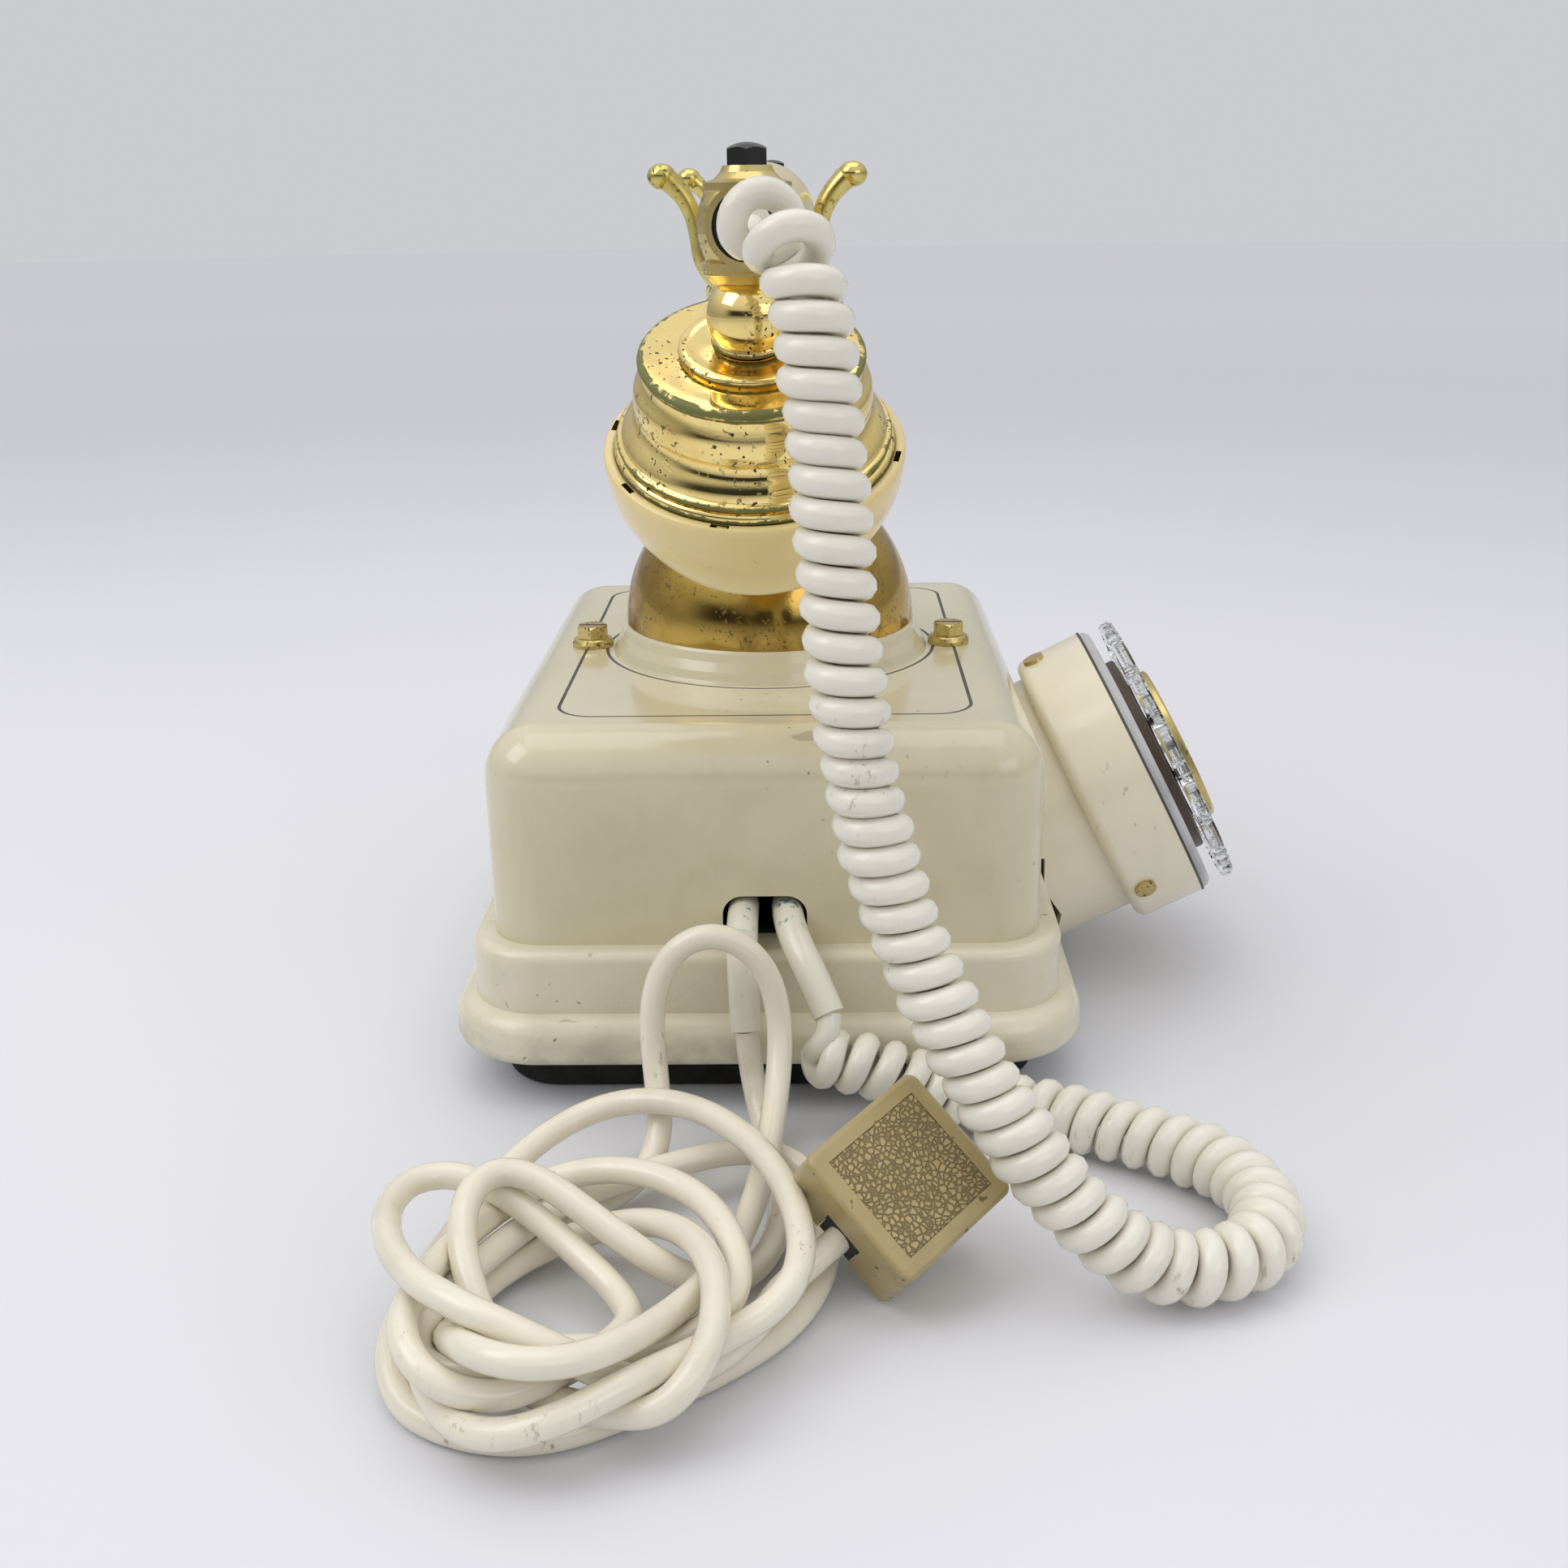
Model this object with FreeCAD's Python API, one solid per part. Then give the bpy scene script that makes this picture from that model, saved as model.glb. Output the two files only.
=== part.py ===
"""Retro table telephone: ivory body, brass bell cradle, brass and ivory handset, side-mounted cords.

Frame: millimetres, +Z up, origin at the middle of the base pad's underside.
The dial looks towards -Y and the handset lies along X, its mouthpiece at -X.
"""
import FreeCAD, Part
import math
import os

os.makedirs("parts", exist_ok=True)
V = FreeCAD.Vector

# ---- driving dimensions, in millimetres -------------------------------------------------
BODY_LENGTH = 161.0          # along X
BODY_WIDTH = 125.0           # along Y
BODY_CORNER = 12.0
BODY_TOP = 85.0
SEAM = 36.6                  # where the housing stands on the plinth
HOUSING_WALL = 2.6

STEP_OVERHANG = 5.0          # plinth's upper step beyond the body
RIM_OVERHANG = 10.0          # plinth's rim beyond the body
RIM_BOTTOM = 10.5
RIM_TOP = 22.0
PAD_LENGTH = 160.0
PAD_WIDTH = 124.0
PLATE_TOP = RIM_BOTTOM + 2.0

GROOVE_LENGTH = 128.0        # thin line round the top of the housing
GROOVE_WIDTH = 95.0
GROOVE_RING = 41.6
SEAT_TOP = 92.4
DOME_RADIUS = 36.5
NUT_OFFSET = 46.0

AXIS_HEIGHT = 190.0          # handset's long axis
FITTING_X = 100.0
FITTING_RADIUS = 9.4
FORK_X = 42.6
HANDLE_MIDDLE = 12.3
HANDLE_END = 7.4
BALL_HEIGHT = 173.8
BALL_RADIUS = 8.3
MOUTH_TILT = 26.0
EAR_SCALE = 0.92             # the ear end is a little smaller than the mouth end

POST_RADIUS = 4.0
RUNNING_FIT = 0.06

DIAL_TILT = 27.0
DIAL_CENTRE = V(0.0, -96.8, 52.1)
DRUM_RADIUS = 37.5
DRUM_DEPTH = 18.0
SCREW_HEAD_RADIUS = 2.7      # the drum's side screws
SCREW_SINK = 0.15            # how far their heads sit into its wall
WHEEL_RADIUS = 37.2
WHEEL_BACK = 6.0
WHEEL_FRONT = 9.4
HOLE_CIRCLE = 28.4
HOLE_RADIUS = 6.4
HOLE_PITCH = 30.0
FIRST_HOLE = 8.0
STOP_ANGLE = -55.0
MAIN_GEAR = 16.0
PINION = 5.3
GOVERNOR_AT = (20.0, 8.0)

SLOT_WIDTH = 18.8
SLOT_TOP = 48.2
VOLUME_AT = (-25.0, 53.6)    # ringer volume wheel's upright axis
CORD_RADIUS = 2.7
COIL_RADIUS = 7.4            # outer radius of the curly cord

PLUG_SIDE = 29.0
PLUG_DEPTH = 15.5
PLUG_FACE = V(-155.6, -28.6, 24.7)
PLUG_NORMAL = V(-0.619, -0.272, 0.737)
PLUG_ACROSS = V(0.646, -0.709, 0.281)

# centre line of the curly cord, from the handset's grommet to the sleeve in the housing
HANDSET_CORD_ROUTE = [
    (-112.9, 0.0, 190.0), (-119.6, 0.0, 190.0), (-126.4, -4.6, 190.8), (-130.8, -9.6, 185.4),
    (-132.4, -11.8, 175.0), (-133.8, -13.6, 158.0), (-136.2, -15.2, 136.0), (-139.0, -17.0, 113.0),
    (-142.0, -21.0, 89.0),
    (-145.0, -27.0, 70.0), (-149.0, -34.0, 55.5), (-154.0, -42.0, 41.0), (-158.5, -52.0, 27.0),
    (-161.5, -63.0, 15.5), (-162.0, -74.0, 8.5), (-160.5, -85.0, 7.6), (-154.5, -94.5, 7.6),
    (-143.0, -99.0, 7.6), (-130.5, -97.0, 7.6), (-120.5, -88.5, 7.6), (-113.0, -76.5, 7.6),
    (-105.8, -64.0, 7.6), (-101.2, -50.0, 7.8), (-100.6, -36.5, 9.0), (-100.9, -25.5, 12.8),
    (-101.0, -17.8, 19.0), (-100.0, -14.0, 29.0)]

# centre lines of the line cord's plain stretches
LINE_LEAD_ROUTE = [
    (-97.5, 3.9, 24.0), (-98.8, 3.2, 17.5), (-101.8, 1.9, 11.4), (-107.0, 0.2, 6.6),
    (-113.6, -1.2, 3.8), (-120.8, -1.8, 3.1), (-128.5, -2.4, 3.0)]
LINE_LOOP_ROUTE = [
    (-120.5, 19.4, 9.5), (-113.6, 20.6, 14.6), (-108.6, 22.0, 23.0), (-105.4, 21.8, 32.5),
    (-103.8, 17.4, 41.5), (-103.0, 10.2, 45.6), (-103.4, 3.4, 42.0), (-105.2, -1.0, 33.5),
    (-108.4, -2.4, 24.0), (-114.0, -1.6, 16.0), (-121.4, 0.8, 11.2), (-128.6, 4.0, 8.6)]
LINE_TAIL_ROUTE = [
    (-164.6, -8.4, 9.6), (-161.0, -11.6, 10.6), (-157.7, -15.3, 12.1)]
COIL_MIDDLE = V(-160.0, 28.0, 0.0)
COIL_HEIGHT = 20.0


# ---- helpers ------------------------------------------------------------------------------
def save(name, shape):
    """Write one node's STEP file."""
    shape.exportStep("parts/" + name + ".step")


def block(x, y, z):
    """A box from three (low, high) pairs."""
    return Part.makeBox(x[1] - x[0], y[1] - y[0], z[1] - z[0], V(x[0], y[0], z[0]))


def rod(radius, start, end):
    """A round bar between two points."""
    a = V(*start)
    b = V(*end)
    return Part.makeCylinder(radius, (b - a).Length, a, b - a)


def turned(profile):
    """A turned solid about Z from its closed (radius, height) outline."""
    wire = Part.makePolygon([V(r, 0, z) for r, z in profile + profile[:1]])
    return Part.Face(wire).revolve(V(0, 0, 0), V(0, 0, 1), 360)


def slab(length, width, corner, low, high):
    """A rounded rectangle, extruded along Z."""
    box = block((-length / 2, length / 2), (-width / 2, width / 2), (low, high))
    edges = [e for e in box.Edges if abs(e.tangentAt(e.FirstParameter).z) > 0.9]
    return box.makeFillet(corner, edges)


def level_edges(shape, height):
    """The edges of a shape that lie at one height."""
    return [e for e in shape.Edges
            if abs(e.BoundBox.ZMin - height) < 1e-4 and abs(e.BoundBox.ZMax - height) < 1e-4]


def rounded(shape, height, radius):
    """Round all edges at one height."""
    return shape.makeFillet(radius, level_edges(shape, height))


def fused(shapes):
    """Several solids as one."""
    return shapes[0].multiFuse(shapes[1:]).removeSplitter()


def placed(shape, origin, up, across):
    """Move a shape from its own frame to one with the given Z and (nearly) X directions."""
    side = up.cross(across)
    turn = FreeCAD.Rotation(side.cross(up), side, up, "ZXY")
    moved = shape.copy()
    moved.Placement = FreeCAD.Placement(origin, turn)
    return moved


def route_tube(points, radius, name=""):
    """A tube along straight runs joined by tangent arcs, each as large as its runs allow."""
    pts = [V(*p) for p in points]
    edges = []
    radii = []
    last = pts[0]
    for before, here, after in zip(pts, pts[1:], pts[2:]):
        arriving = (here - before).normalize()
        leaving = (after - here).normalize()
        turn = arriving.getAngle(leaving)
        reach = 0.45 * min((here - before).Length, (after - here).Length)
        radii.append(reach / math.tan(turn / 2))
        start = here - arriving * reach
        end = here + leaving * reach
        inward = (leaving - arriving).normalize()
        middle = here + inward * (math.hypot(radii[-1], reach) - radii[-1])
        edges.append(Part.LineSegment(last, start).toShape())
        edges.append(Part.Arc(start, middle, end).toShape())
        last = end
    edges.append(Part.LineSegment(last, pts[-1]).toShape())
    path = Part.Wire(edges)
    heading = (pts[1] - pts[0]).normalize()
    section = Part.Wire(Part.makeCircle(radius, pts[0], heading))
    tube = path.makePipeShell([section], True, False)
    ratio = tube.Volume / (math.pi * radius ** 2 * path.Length)
    print(name, "length", round(path.Length, 1), "volume ratio", round(ratio, 4),
          "radii", [round(r, 1) for r in radii])
    return tube


# ---- base ---------------------------------------------------------------------------------
def base_pad():
    pad = rounded(slab(PAD_LENGTH, PAD_WIDTH, 14.0, 0.0, RIM_BOTTOM), 0.0, 2.5)
    for x, y in screw_places():
        pad = pad.cut(rod(5.0, (x, y, -1), (x, y, RIM_BOTTOM + 1)))
    return pad


def base_plate():
    plate = slab(BODY_LENGTH + 12, BODY_WIDTH + 12, 15.0, RIM_BOTTOM, PLATE_TOP)
    for x, y in screw_places():
        plate = plate.cut(rod(1.8, (x, y, 0), (x, y, 20)))
    return plate


def screw_places():
    return [(x, y) for x in (-66.0, 66.0) for y in (-48.0, 48.0)]


def base_screws():
    screws = []
    for x, y in screw_places():
        head = rod(4.0, (x, y, RIM_BOTTOM - 2.6), (x, y, RIM_BOTTOM))
        slot = block((x - 5, x + 5), (y - 0.5, y + 0.5), (RIM_BOTTOM - 3, RIM_BOTTOM - 1.6))
        shank = rod(1.8, (x, y, RIM_BOTTOM), (x, y, 28.0))
        screws.append(head.cut(slot).fuse(shank))
    return Part.makeCompound(screws)


def plinth():
    rim = slab(BODY_LENGTH + 2 * RIM_OVERHANG, BODY_WIDTH + 2 * RIM_OVERHANG, 21.0, RIM_BOTTOM, RIM_TOP)
    rim = rounded(rim, RIM_BOTTOM, 3.2)
    rim = rounded(rim, RIM_TOP, 5.5)
    step = slab(BODY_LENGTH + 2 * STEP_OVERHANG, BODY_WIDTH + 2 * STEP_OVERHANG, 16.0, RIM_TOP - 4, SEAM)
    step = rounded(step, SEAM, 2.5)
    shell = rim.fuse(step)
    shell = shell.cut(slab(BODY_LENGTH + 12, BODY_WIDTH + 12, 15.0, RIM_BOTTOM - 1, PLATE_TOP))
    shell = shell.cut(slab(BODY_LENGTH + 4, BODY_WIDTH + 4, 12.0, PLATE_TOP - 1, SEAM - 3.0))
    shell = shell.cut(slab(BODY_LENGTH - 12, BODY_WIDTH - 12, 9.0, SEAM - 4, SEAM + 1))
    posts = []
    for x, y in screw_places():
        posts.append(rod(4.5, (x, y, PLATE_TOP), (x, y, SEAM - 3.0)))
        rib_end = math.copysign(BODY_WIDTH / 2 + 2.5, y)
        low, high = sorted((y, rib_end))
        posts.append(block((x - 1.2, x + 1.2), (low, high), (PLATE_TOP, SEAM - 2.9)))
    shell = fused([shell] + posts)
    for x, y in screw_places():
        shell = shell.cut(rod(1.8, (x, y, 0), (x, y, 28.0)))
    return shell


# ---- housing and its top ------------------------------------------------------------------
def dial_point(across, up, out):
    """A point of the dial's own frame in the model's frame."""
    tilt = math.radians(DIAL_TILT)
    return DIAL_CENTRE + V(across, up * math.sin(tilt) - out * math.cos(tilt),
                           up * math.cos(tilt) + out * math.sin(tilt))


def dial_placed(shape):
    """Move a shape made on the dial's axis to the dial's place."""
    moved = shape.copy()
    stand = FreeCAD.Placement(DIAL_CENTRE, FreeCAD.Rotation(V(1, 0, 0), 90.0 - DIAL_TILT))
    moved.Placement = stand.multiply(shape.Placement)
    return moved


def housing():
    outside = rounded(slab(BODY_LENGTH, BODY_WIDTH, BODY_CORNER, SEAM, BODY_TOP), BODY_TOP, 11.6)
    inner_corner = BODY_CORNER - HOUSING_WALL
    inside = slab(BODY_LENGTH - 2 * HOUSING_WALL, BODY_WIDTH - 2 * HOUSING_WALL, inner_corner,
                  SEAM - 1, BODY_TOP - HOUSING_WALL)
    inside = rounded(inside, BODY_TOP - HOUSING_WALL, inner_corner - 0.4)
    shell = outside.cut(inside)
    line = slab(GROOVE_LENGTH, GROOVE_WIDTH, 9.0, BODY_TOP - 0.5, BODY_TOP + 1)
    line = line.cut(slab(GROOVE_LENGTH - 1.6, GROOVE_WIDTH - 1.6, 8.2, BODY_TOP - 1, BODY_TOP + 1))
    ring = rod(GROOVE_RING + 0.8, (0, 0, BODY_TOP - 0.5), (0, 0, BODY_TOP + 1))
    ring = ring.cut(rod(GROOVE_RING, (0, 0, BODY_TOP - 1), (0, 0, BODY_TOP + 1)))
    cuts = [line, ring, rod(POST_RADIUS + 0.4, (0, 0, 70), (0, 0, 95))]
    for y in (-NUT_OFFSET, NUT_OFFSET):
        cuts.append(rod(2.2, (0, y, 70), (0, y, 95)))
    cuts.append(cord_slot())
    cuts.append(rod(15.0, tuple(dial_point(0, -4, -20)), tuple(dial_point(0, -4, -46))))
    cuts.append(block((VOLUME_AT[0] - 10.6, VOLUME_AT[0] + 10.6),
                      (BODY_WIDTH / 2 - 5, BODY_WIDTH / 2 + 2), (45.5, 51.5)))
    for cutter in cuts:
        shell = shell.cut(cutter)
    return shell


def cord_slot():
    half = SLOT_WIDTH / 2
    slot = block((-90, -70), (-half, half), (SEAM - 2, SLOT_TOP))
    edges = [e for e in slot.Edges
             if abs(e.BoundBox.ZMin - SLOT_TOP) < 1e-4 and e.BoundBox.XLength > 10]
    return slot.makeFillet(4.5, edges)


def bell_seat():
    return turned([(30.0, BODY_TOP), (GROOVE_RING - 1.2, BODY_TOP), (GROOVE_RING - 1.6, BODY_TOP + 0.7),
                   (39.2, BODY_TOP + 2.6), (38.0, BODY_TOP + 4.8), (37.2, SEAT_TOP - 0.6),
                   (36.8, SEAT_TOP), (30.0, SEAT_TOP)])


def bell_dome():
    middle = SEAT_TOP + 0.6
    outer = Part.makeSphere(DOME_RADIUS, V(0, 0, middle))
    inner = Part.makeSphere(DOME_RADIUS - 1.4, V(0, 0, middle))
    dome = outer.cut(inner).common(rod(60, (0, 0, middle), (0, 0, 160)))
    skirt = rod(DOME_RADIUS, (0, 0, SEAT_TOP), (0, 0, middle))
    skirt = skirt.cut(rod(DOME_RADIUS - 1.4, (0, 0, SEAT_TOP - 1), (0, 0, middle + 1)))
    dome = dome.fuse(skirt).removeSplitter()
    return dome.cut(rod(9.0, (0, 0, 110), (0, 0, 140)))


def cradle_column():
    top = 164.0
    bore = POST_RADIUS + RUNNING_FIT
    profile = [(bore, BODY_TOP), (11.0, BODY_TOP), (11.0, 88.0), (8.9, 88.0), (8.9, 128.6),
               (12.4, 128.6), (12.4, 130.4), (10.4, 131.6), (8.2, 134.4), (7.0, 138.6), (6.4, 144.0),
               (6.4, 152.0), (8.0, 153.2), (8.6, 154.8), (8.0, 156.4), (6.6, 157.4), (6.6, 161.0),
               (8.4, 162.0), (8.4, top), (bore, top)]
    return turned(profile)


def thumb_nuts():
    nuts = []
    for y in (-NUT_OFFSET, NUT_OFFSET):
        base = turned([(2.05, 0), (5.3, 0), (5.3, 1.0), (4.9, 1.9), (4.4, 2.2), (2.05, 2.2)])
        hexagon = Part.Face(Part.makePolygon([V(4.15 * math.cos(math.radians(60 * i)),
                                                4.15 * math.sin(math.radians(60 * i)), 2.2)
                                              for i in range(7)])).extrude(V(0, 0, 3.2))
        cone = turned([(0, 2.2), (4.2, 2.2), (4.2, 4.8), (3.2, 5.8), (0, 5.8)])
        hexagon = hexagon.common(cone).cut(rod(2.05, (0, 0, 0), (0, 0, 4.4)))
        nut = base.fuse(hexagon).cut(block((-0.45, 0.45), (-6, 6), (4.6, 7)))
        nut.translate(V(0, y, BODY_TOP))
        nuts.append(nut)
    return Part.makeCompound(nuts)


def housing_studs():
    studs = []
    for y in (-NUT_OFFSET, NUT_OFFSET):
        stud = rod(2.0, (0, y, PLATE_TOP), (0, y, BODY_TOP + 4.2))
        nut = rod(4.5, (0, y, PLATE_TOP), (0, y, PLATE_TOP + 4))
        studs.append(stud.fuse(nut))
    return Part.makeCompound(studs)


def sleeve(points, tip_radius):
    """A strain-relief sleeve with a flange behind the slot's wall, split where the cord goes on."""
    tube = route_tube(points, 3.5, "sleeve")
    a = V(*points[0])
    b = V(*points[1])
    flange = Part.makeCylinder(4.4, 3.0, a, b - a)
    end = V(*points[-1])
    heading = (end - V(*points[-2])).normalize()
    start = end - heading * 1.2
    groove = Part.makeCylinder(tip_radius + 0.3, 1.2, start, heading)
    groove = groove.cut(Part.makeCylinder(tip_radius, 1.2, start, heading))
    return tube.fuse(flange).cut(groove)


def line_sleeve():
    return sleeve([(-74.0, 4.9, 43.6), (-83.0, 4.9, 43.6), (-89.5, 4.8, 40.6), (-94.0, 4.5, 34.6),
                   (-97.5, 3.9, 24.0)], CORD_RADIUS)


def handset_sleeve():
    return sleeve([(-74.0, -4.9, 43.6), (-83.0, -5.2, 43.6), (-90.2, -7.4, 40.4), (-95.6, -10.6, 35.8),
                   (-100.0, -14.0, 29.0)], CORD_RADIUS)


# ---- inside -------------------------------------------------------------------------------
def circuit_board():
    board = block((-70, -9), (-40, 40), (20.5, 22.1))
    for x, y in standoff_places():
        board = board.cut(rod(1.5, (x, y, 10), (x, y, 40)))
    parts = [board]
    for i in range(4):
        parts.append(rod(3.0, (-20.0, -24 + 12 * i, 22.1), (-20.0, -24 + 12 * i, 32.0)))
    parts.append(block((-48, -32), (16, 34), (22.1, 36.0)))
    parts.append(block((-60, -44), (-34, -22), (22.1, 26.0)))
    terminal = block((-68, -56), (-16, 16), (22.1, 31.0))
    for i in range(5):
        terminal = terminal.cut(rod(2.0, (-62, -12 + 6 * i, 27.0), (-62, -12 + 6 * i, 32.0)))
    return fused(parts + [terminal])


def standoff_places():
    return [(x, y) for x in (-65.0, -14.0) for y in (-35.0, 35.0)]


def board_standoffs():
    posts = []
    for x, y in standoff_places():
        posts.append(rod(3.0, (x, y, PLATE_TOP), (x, y, 20.5)).fuse(rod(1.5, (x, y, 20.5), (x, y, 24.0))))
    return Part.makeCompound(posts)


def hook_switch():
    case = block((4, 16), (-8, 8), (PLATE_TOP, 33.0))
    contacts = []
    for y in (-5.0, 0.0, 5.0):
        contacts.append(block((-3, 4), (y - 0.8, y + 0.8), (27.0, 27.4)))
    return fused([case] + contacts)


def hook_spring():
    leaf = block((-6, 15), (-3.5, 3.5), (35.0, 35.6))
    foot = block((8, 15), (-3.5, 3.5), (33.0, 35.0))
    return fused([leaf, foot])


def ringer_frame():
    base = block((18, 58), (-42, 42), (PLATE_TOP, PLATE_TOP + 1.5))
    posts = [rod(2.5, (x, y, PLATE_TOP), (x, y, 50.0)) for x, y in ((48.0, 30.0), (46.0, -29.0))]
    pin_post = rod(1.5, (26.0, -0.5, PLATE_TOP), (26.0, -0.5, 60.0))
    collar = rod(3.0, (26.0, -0.5, PLATE_TOP), (26.0, -0.5, 49.5))
    return fused([base] + posts + [pin_post, collar])


def ringer_coils():
    coils = []
    for y in (-14.0, 13.0):
        low = PLATE_TOP + 1.5
        bobbin = turned([(0, low), (8.0, low), (8.0, low + 2), (6.8, low + 2), (6.8, 41.0), (8.0, 41.0),
                         (8.0, 43.0), (3.0, 43.0), (3.0, 49.2), (0, 49.2)])
        bobbin.translate(V(26.0, y, 0))
        coils.append(bobbin)
    return Part.makeCompound(coils)


def gong(radius, place):
    cup = turned([(0, 50.0), (8, 50.0), (radius * 0.7, 51.5), (radius * 0.94, 55.5), (radius, 62.0),
                  (radius - 1.4, 62.0), (radius * 0.94 - 1.4, 56.3), (radius * 0.7 - 0.8, 52.9),
                  (8, 51.4), (0, 51.4)])
    nut = rod(3.5, (0, 0, 51.4), (0, 0, 54.0))
    cup = cup.fuse(nut)
    cup.translate(V(*place))
    return cup


def clapper():
    arm = block((23.0, 29.0), (-17.0, 16.0), (50.0, 53.0))
    arm = arm.fuse(rod(4.0, (26.0, -0.5, 50.0), (26.0, -0.5, 59.0)))
    arm = arm.fuse(rod(1.0, (28.5, -0.5, 57.5), (48.0, 0.4, 57.5)))
    arm = arm.fuse(Part.makeSphere(4.0, V(49.0, 0.4, 57.5)))
    return arm.removeSplitter().cut(rod(1.5 + RUNNING_FIT, (26.0, -0.5, 49.0), (26.0, -0.5, 60.0)))


def volume_wheel():
    wheel = turned([(1.6, 46.2), (11.0, 46.2), (11.6, 46.8), (11.6, 50.2), (11.0, 50.8), (1.6, 50.8)])
    for i in range(36):
        angle = math.radians(10 * i)
        wheel = wheel.cut(rod(0.35, (11.7 * math.cos(angle), 11.7 * math.sin(angle), 46),
                              (11.7 * math.cos(angle), 11.7 * math.sin(angle), 51)))
    wheel.translate(V(VOLUME_AT[0], VOLUME_AT[1], 0))
    return wheel


def volume_control():
    x, y = VOLUME_AT
    width = (x - 10.0, x + 10.0)
    wall = BODY_WIDTH / 2 - HOUSING_WALL
    case = block(width, (y - 13.6, wall), (51.7, 58.0))
    lug = block(width, (y - 13.6, wall), (43.0, 45.4))
    web = block(width, (y - 17.6, y - 12.0), (43.0, 58.0))
    pin = rod(1.6 - RUNNING_FIT, (x, y, 45.0), (x, y, 52.0))
    return fused([case, lug, web, pin])


# ---- dial ---------------------------------------------------------------------------------
def dial_bracket():
    solid = rod(33.0, (0, 0, -62), (0, 0, -DRUM_DEPTH)).cut(rod(30.0, (0, 0, -63), (0, 0, -DRUM_DEPTH - 3)))
    solid = dial_placed(solid)
    front = -BODY_WIDTH / 2
    solid = solid.common(block((-60, 60), (-160, front), (0, 140)))
    keep_off = Part.Face(Part.makePolygon([
        V(-60, front, SEAM + 1.5), V(-60, front - STEP_OVERHANG - 1.0, SEAM + 1.0),
        V(-60, front - STEP_OVERHANG - 1.2, 29.0), V(-60, front - RIM_OVERHANG - 1.6, 20.0),
        V(-60, front - RIM_OVERHANG - 1.6, 0.0), V(-60, front, 0.0),
        V(-60, front, SEAM + 1.5)])).extrude(V(120, 0, 0))
    solid = solid.cut(keep_off)
    above = block((-60, 60), (front - 1, -40), (BODY_TOP - 11.6, 140))
    return max(solid.cut(above).Solids, key=lambda s: s.Volume)


def dial_drum():
    wall = 2.4
    cup = rod(DRUM_RADIUS, (0, 0, -DRUM_DEPTH), (0, 0, 0))
    cup = rounded(cup, -DRUM_DEPTH, 3.0)
    cup = cup.cut(rod(DRUM_RADIUS - wall, (0, 0, -DRUM_DEPTH + 2.6), (0, 0, 1)))
    cup = cup.cut(rod(12.0, (0, 0, -DRUM_DEPTH - 1), (0, 0, 0)))
    for angle in drum_screw_angles():
        cup = cup.cut(radial(1.4, angle, 30, 40))
        cup = cup.cut(radial(SCREW_HEAD_RADIUS, angle, DRUM_RADIUS - SCREW_SINK, 40))
    return dial_placed(cup)


def drum_screw_angles():
    return (90.0, 210.0, 330.0)


def radial(radius, angle, start, end, out=-12.8):
    """A round bar across the drum's wall."""
    c = math.cos(math.radians(angle))
    s = math.sin(math.radians(angle))
    return rod(radius, (start * c, start * s, out), (end * c, end * s, out))


def drum_screws():
    screws = []
    for angle in drum_screw_angles():
        head = radial(SCREW_HEAD_RADIUS, angle, DRUM_RADIUS - SCREW_SINK, DRUM_RADIUS + 1.0)
        screws.append(dial_placed(head.fuse(radial(1.4, angle, 31.0, DRUM_RADIUS)).removeSplitter()))
    return Part.makeCompound(screws)


def dial_frame():
    plate = rod(DRUM_RADIUS - 2.5, (0, 0, -14.6), (0, 0, -11.0))
    plate = plate.fuse(rod(5.0, (0, 0, -11.0), (0, 0, -7.0)))
    plate = plate.cut(rod(3.0 + RUNNING_FIT, (0, 0, -15), (0, 0, 0)))
    for angle in drum_screw_angles():
        plate = plate.cut(radial(1.4, angle, 31.0, 40))
    x, y = GOVERNOR_AT
    spindle = rod(1.5, (x, y, -11.0), (x, y, -1.0))
    return dial_placed(plate.fuse(spindle).removeSplitter())


def number_ring():
    ring = turned([(22.0, 0.0), (DRUM_RADIUS - 1.8, 0.0), (DRUM_RADIUS - 1.8, 0.6), (DRUM_RADIUS - 0.5, 0.6),
                   (DRUM_RADIUS - 0.5, 1.8), (DRUM_RADIUS - 1.6, 2.8), (22.0, 2.8)])
    return dial_placed(ring)


def number_disc():
    disc = turned([(3.4, 2.8), (27.0, 2.8), (27.0, 5.2), (26.6, 5.6), (3.4, 5.6)])
    return dial_placed(disc)


def finger_stop():
    """A brass block on the number ring, under the wheel, that the finger comes to."""
    angle = math.radians(STOP_ANGLE)
    body = block((27.6, 35.4), (-1.7, 1.7), (2.8, 5.6))
    upright = [e for e in body.Edges if e.BoundBox.ZLength > 2]
    body = body.makeFillet(1.4, upright)
    body.rotate(V(0, 0, 0), V(0, 0, 1), math.degrees(angle))
    return dial_placed(body)


def hole_angles():
    return [FIRST_HOLE + HOLE_PITCH * i for i in range(10)]


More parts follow.
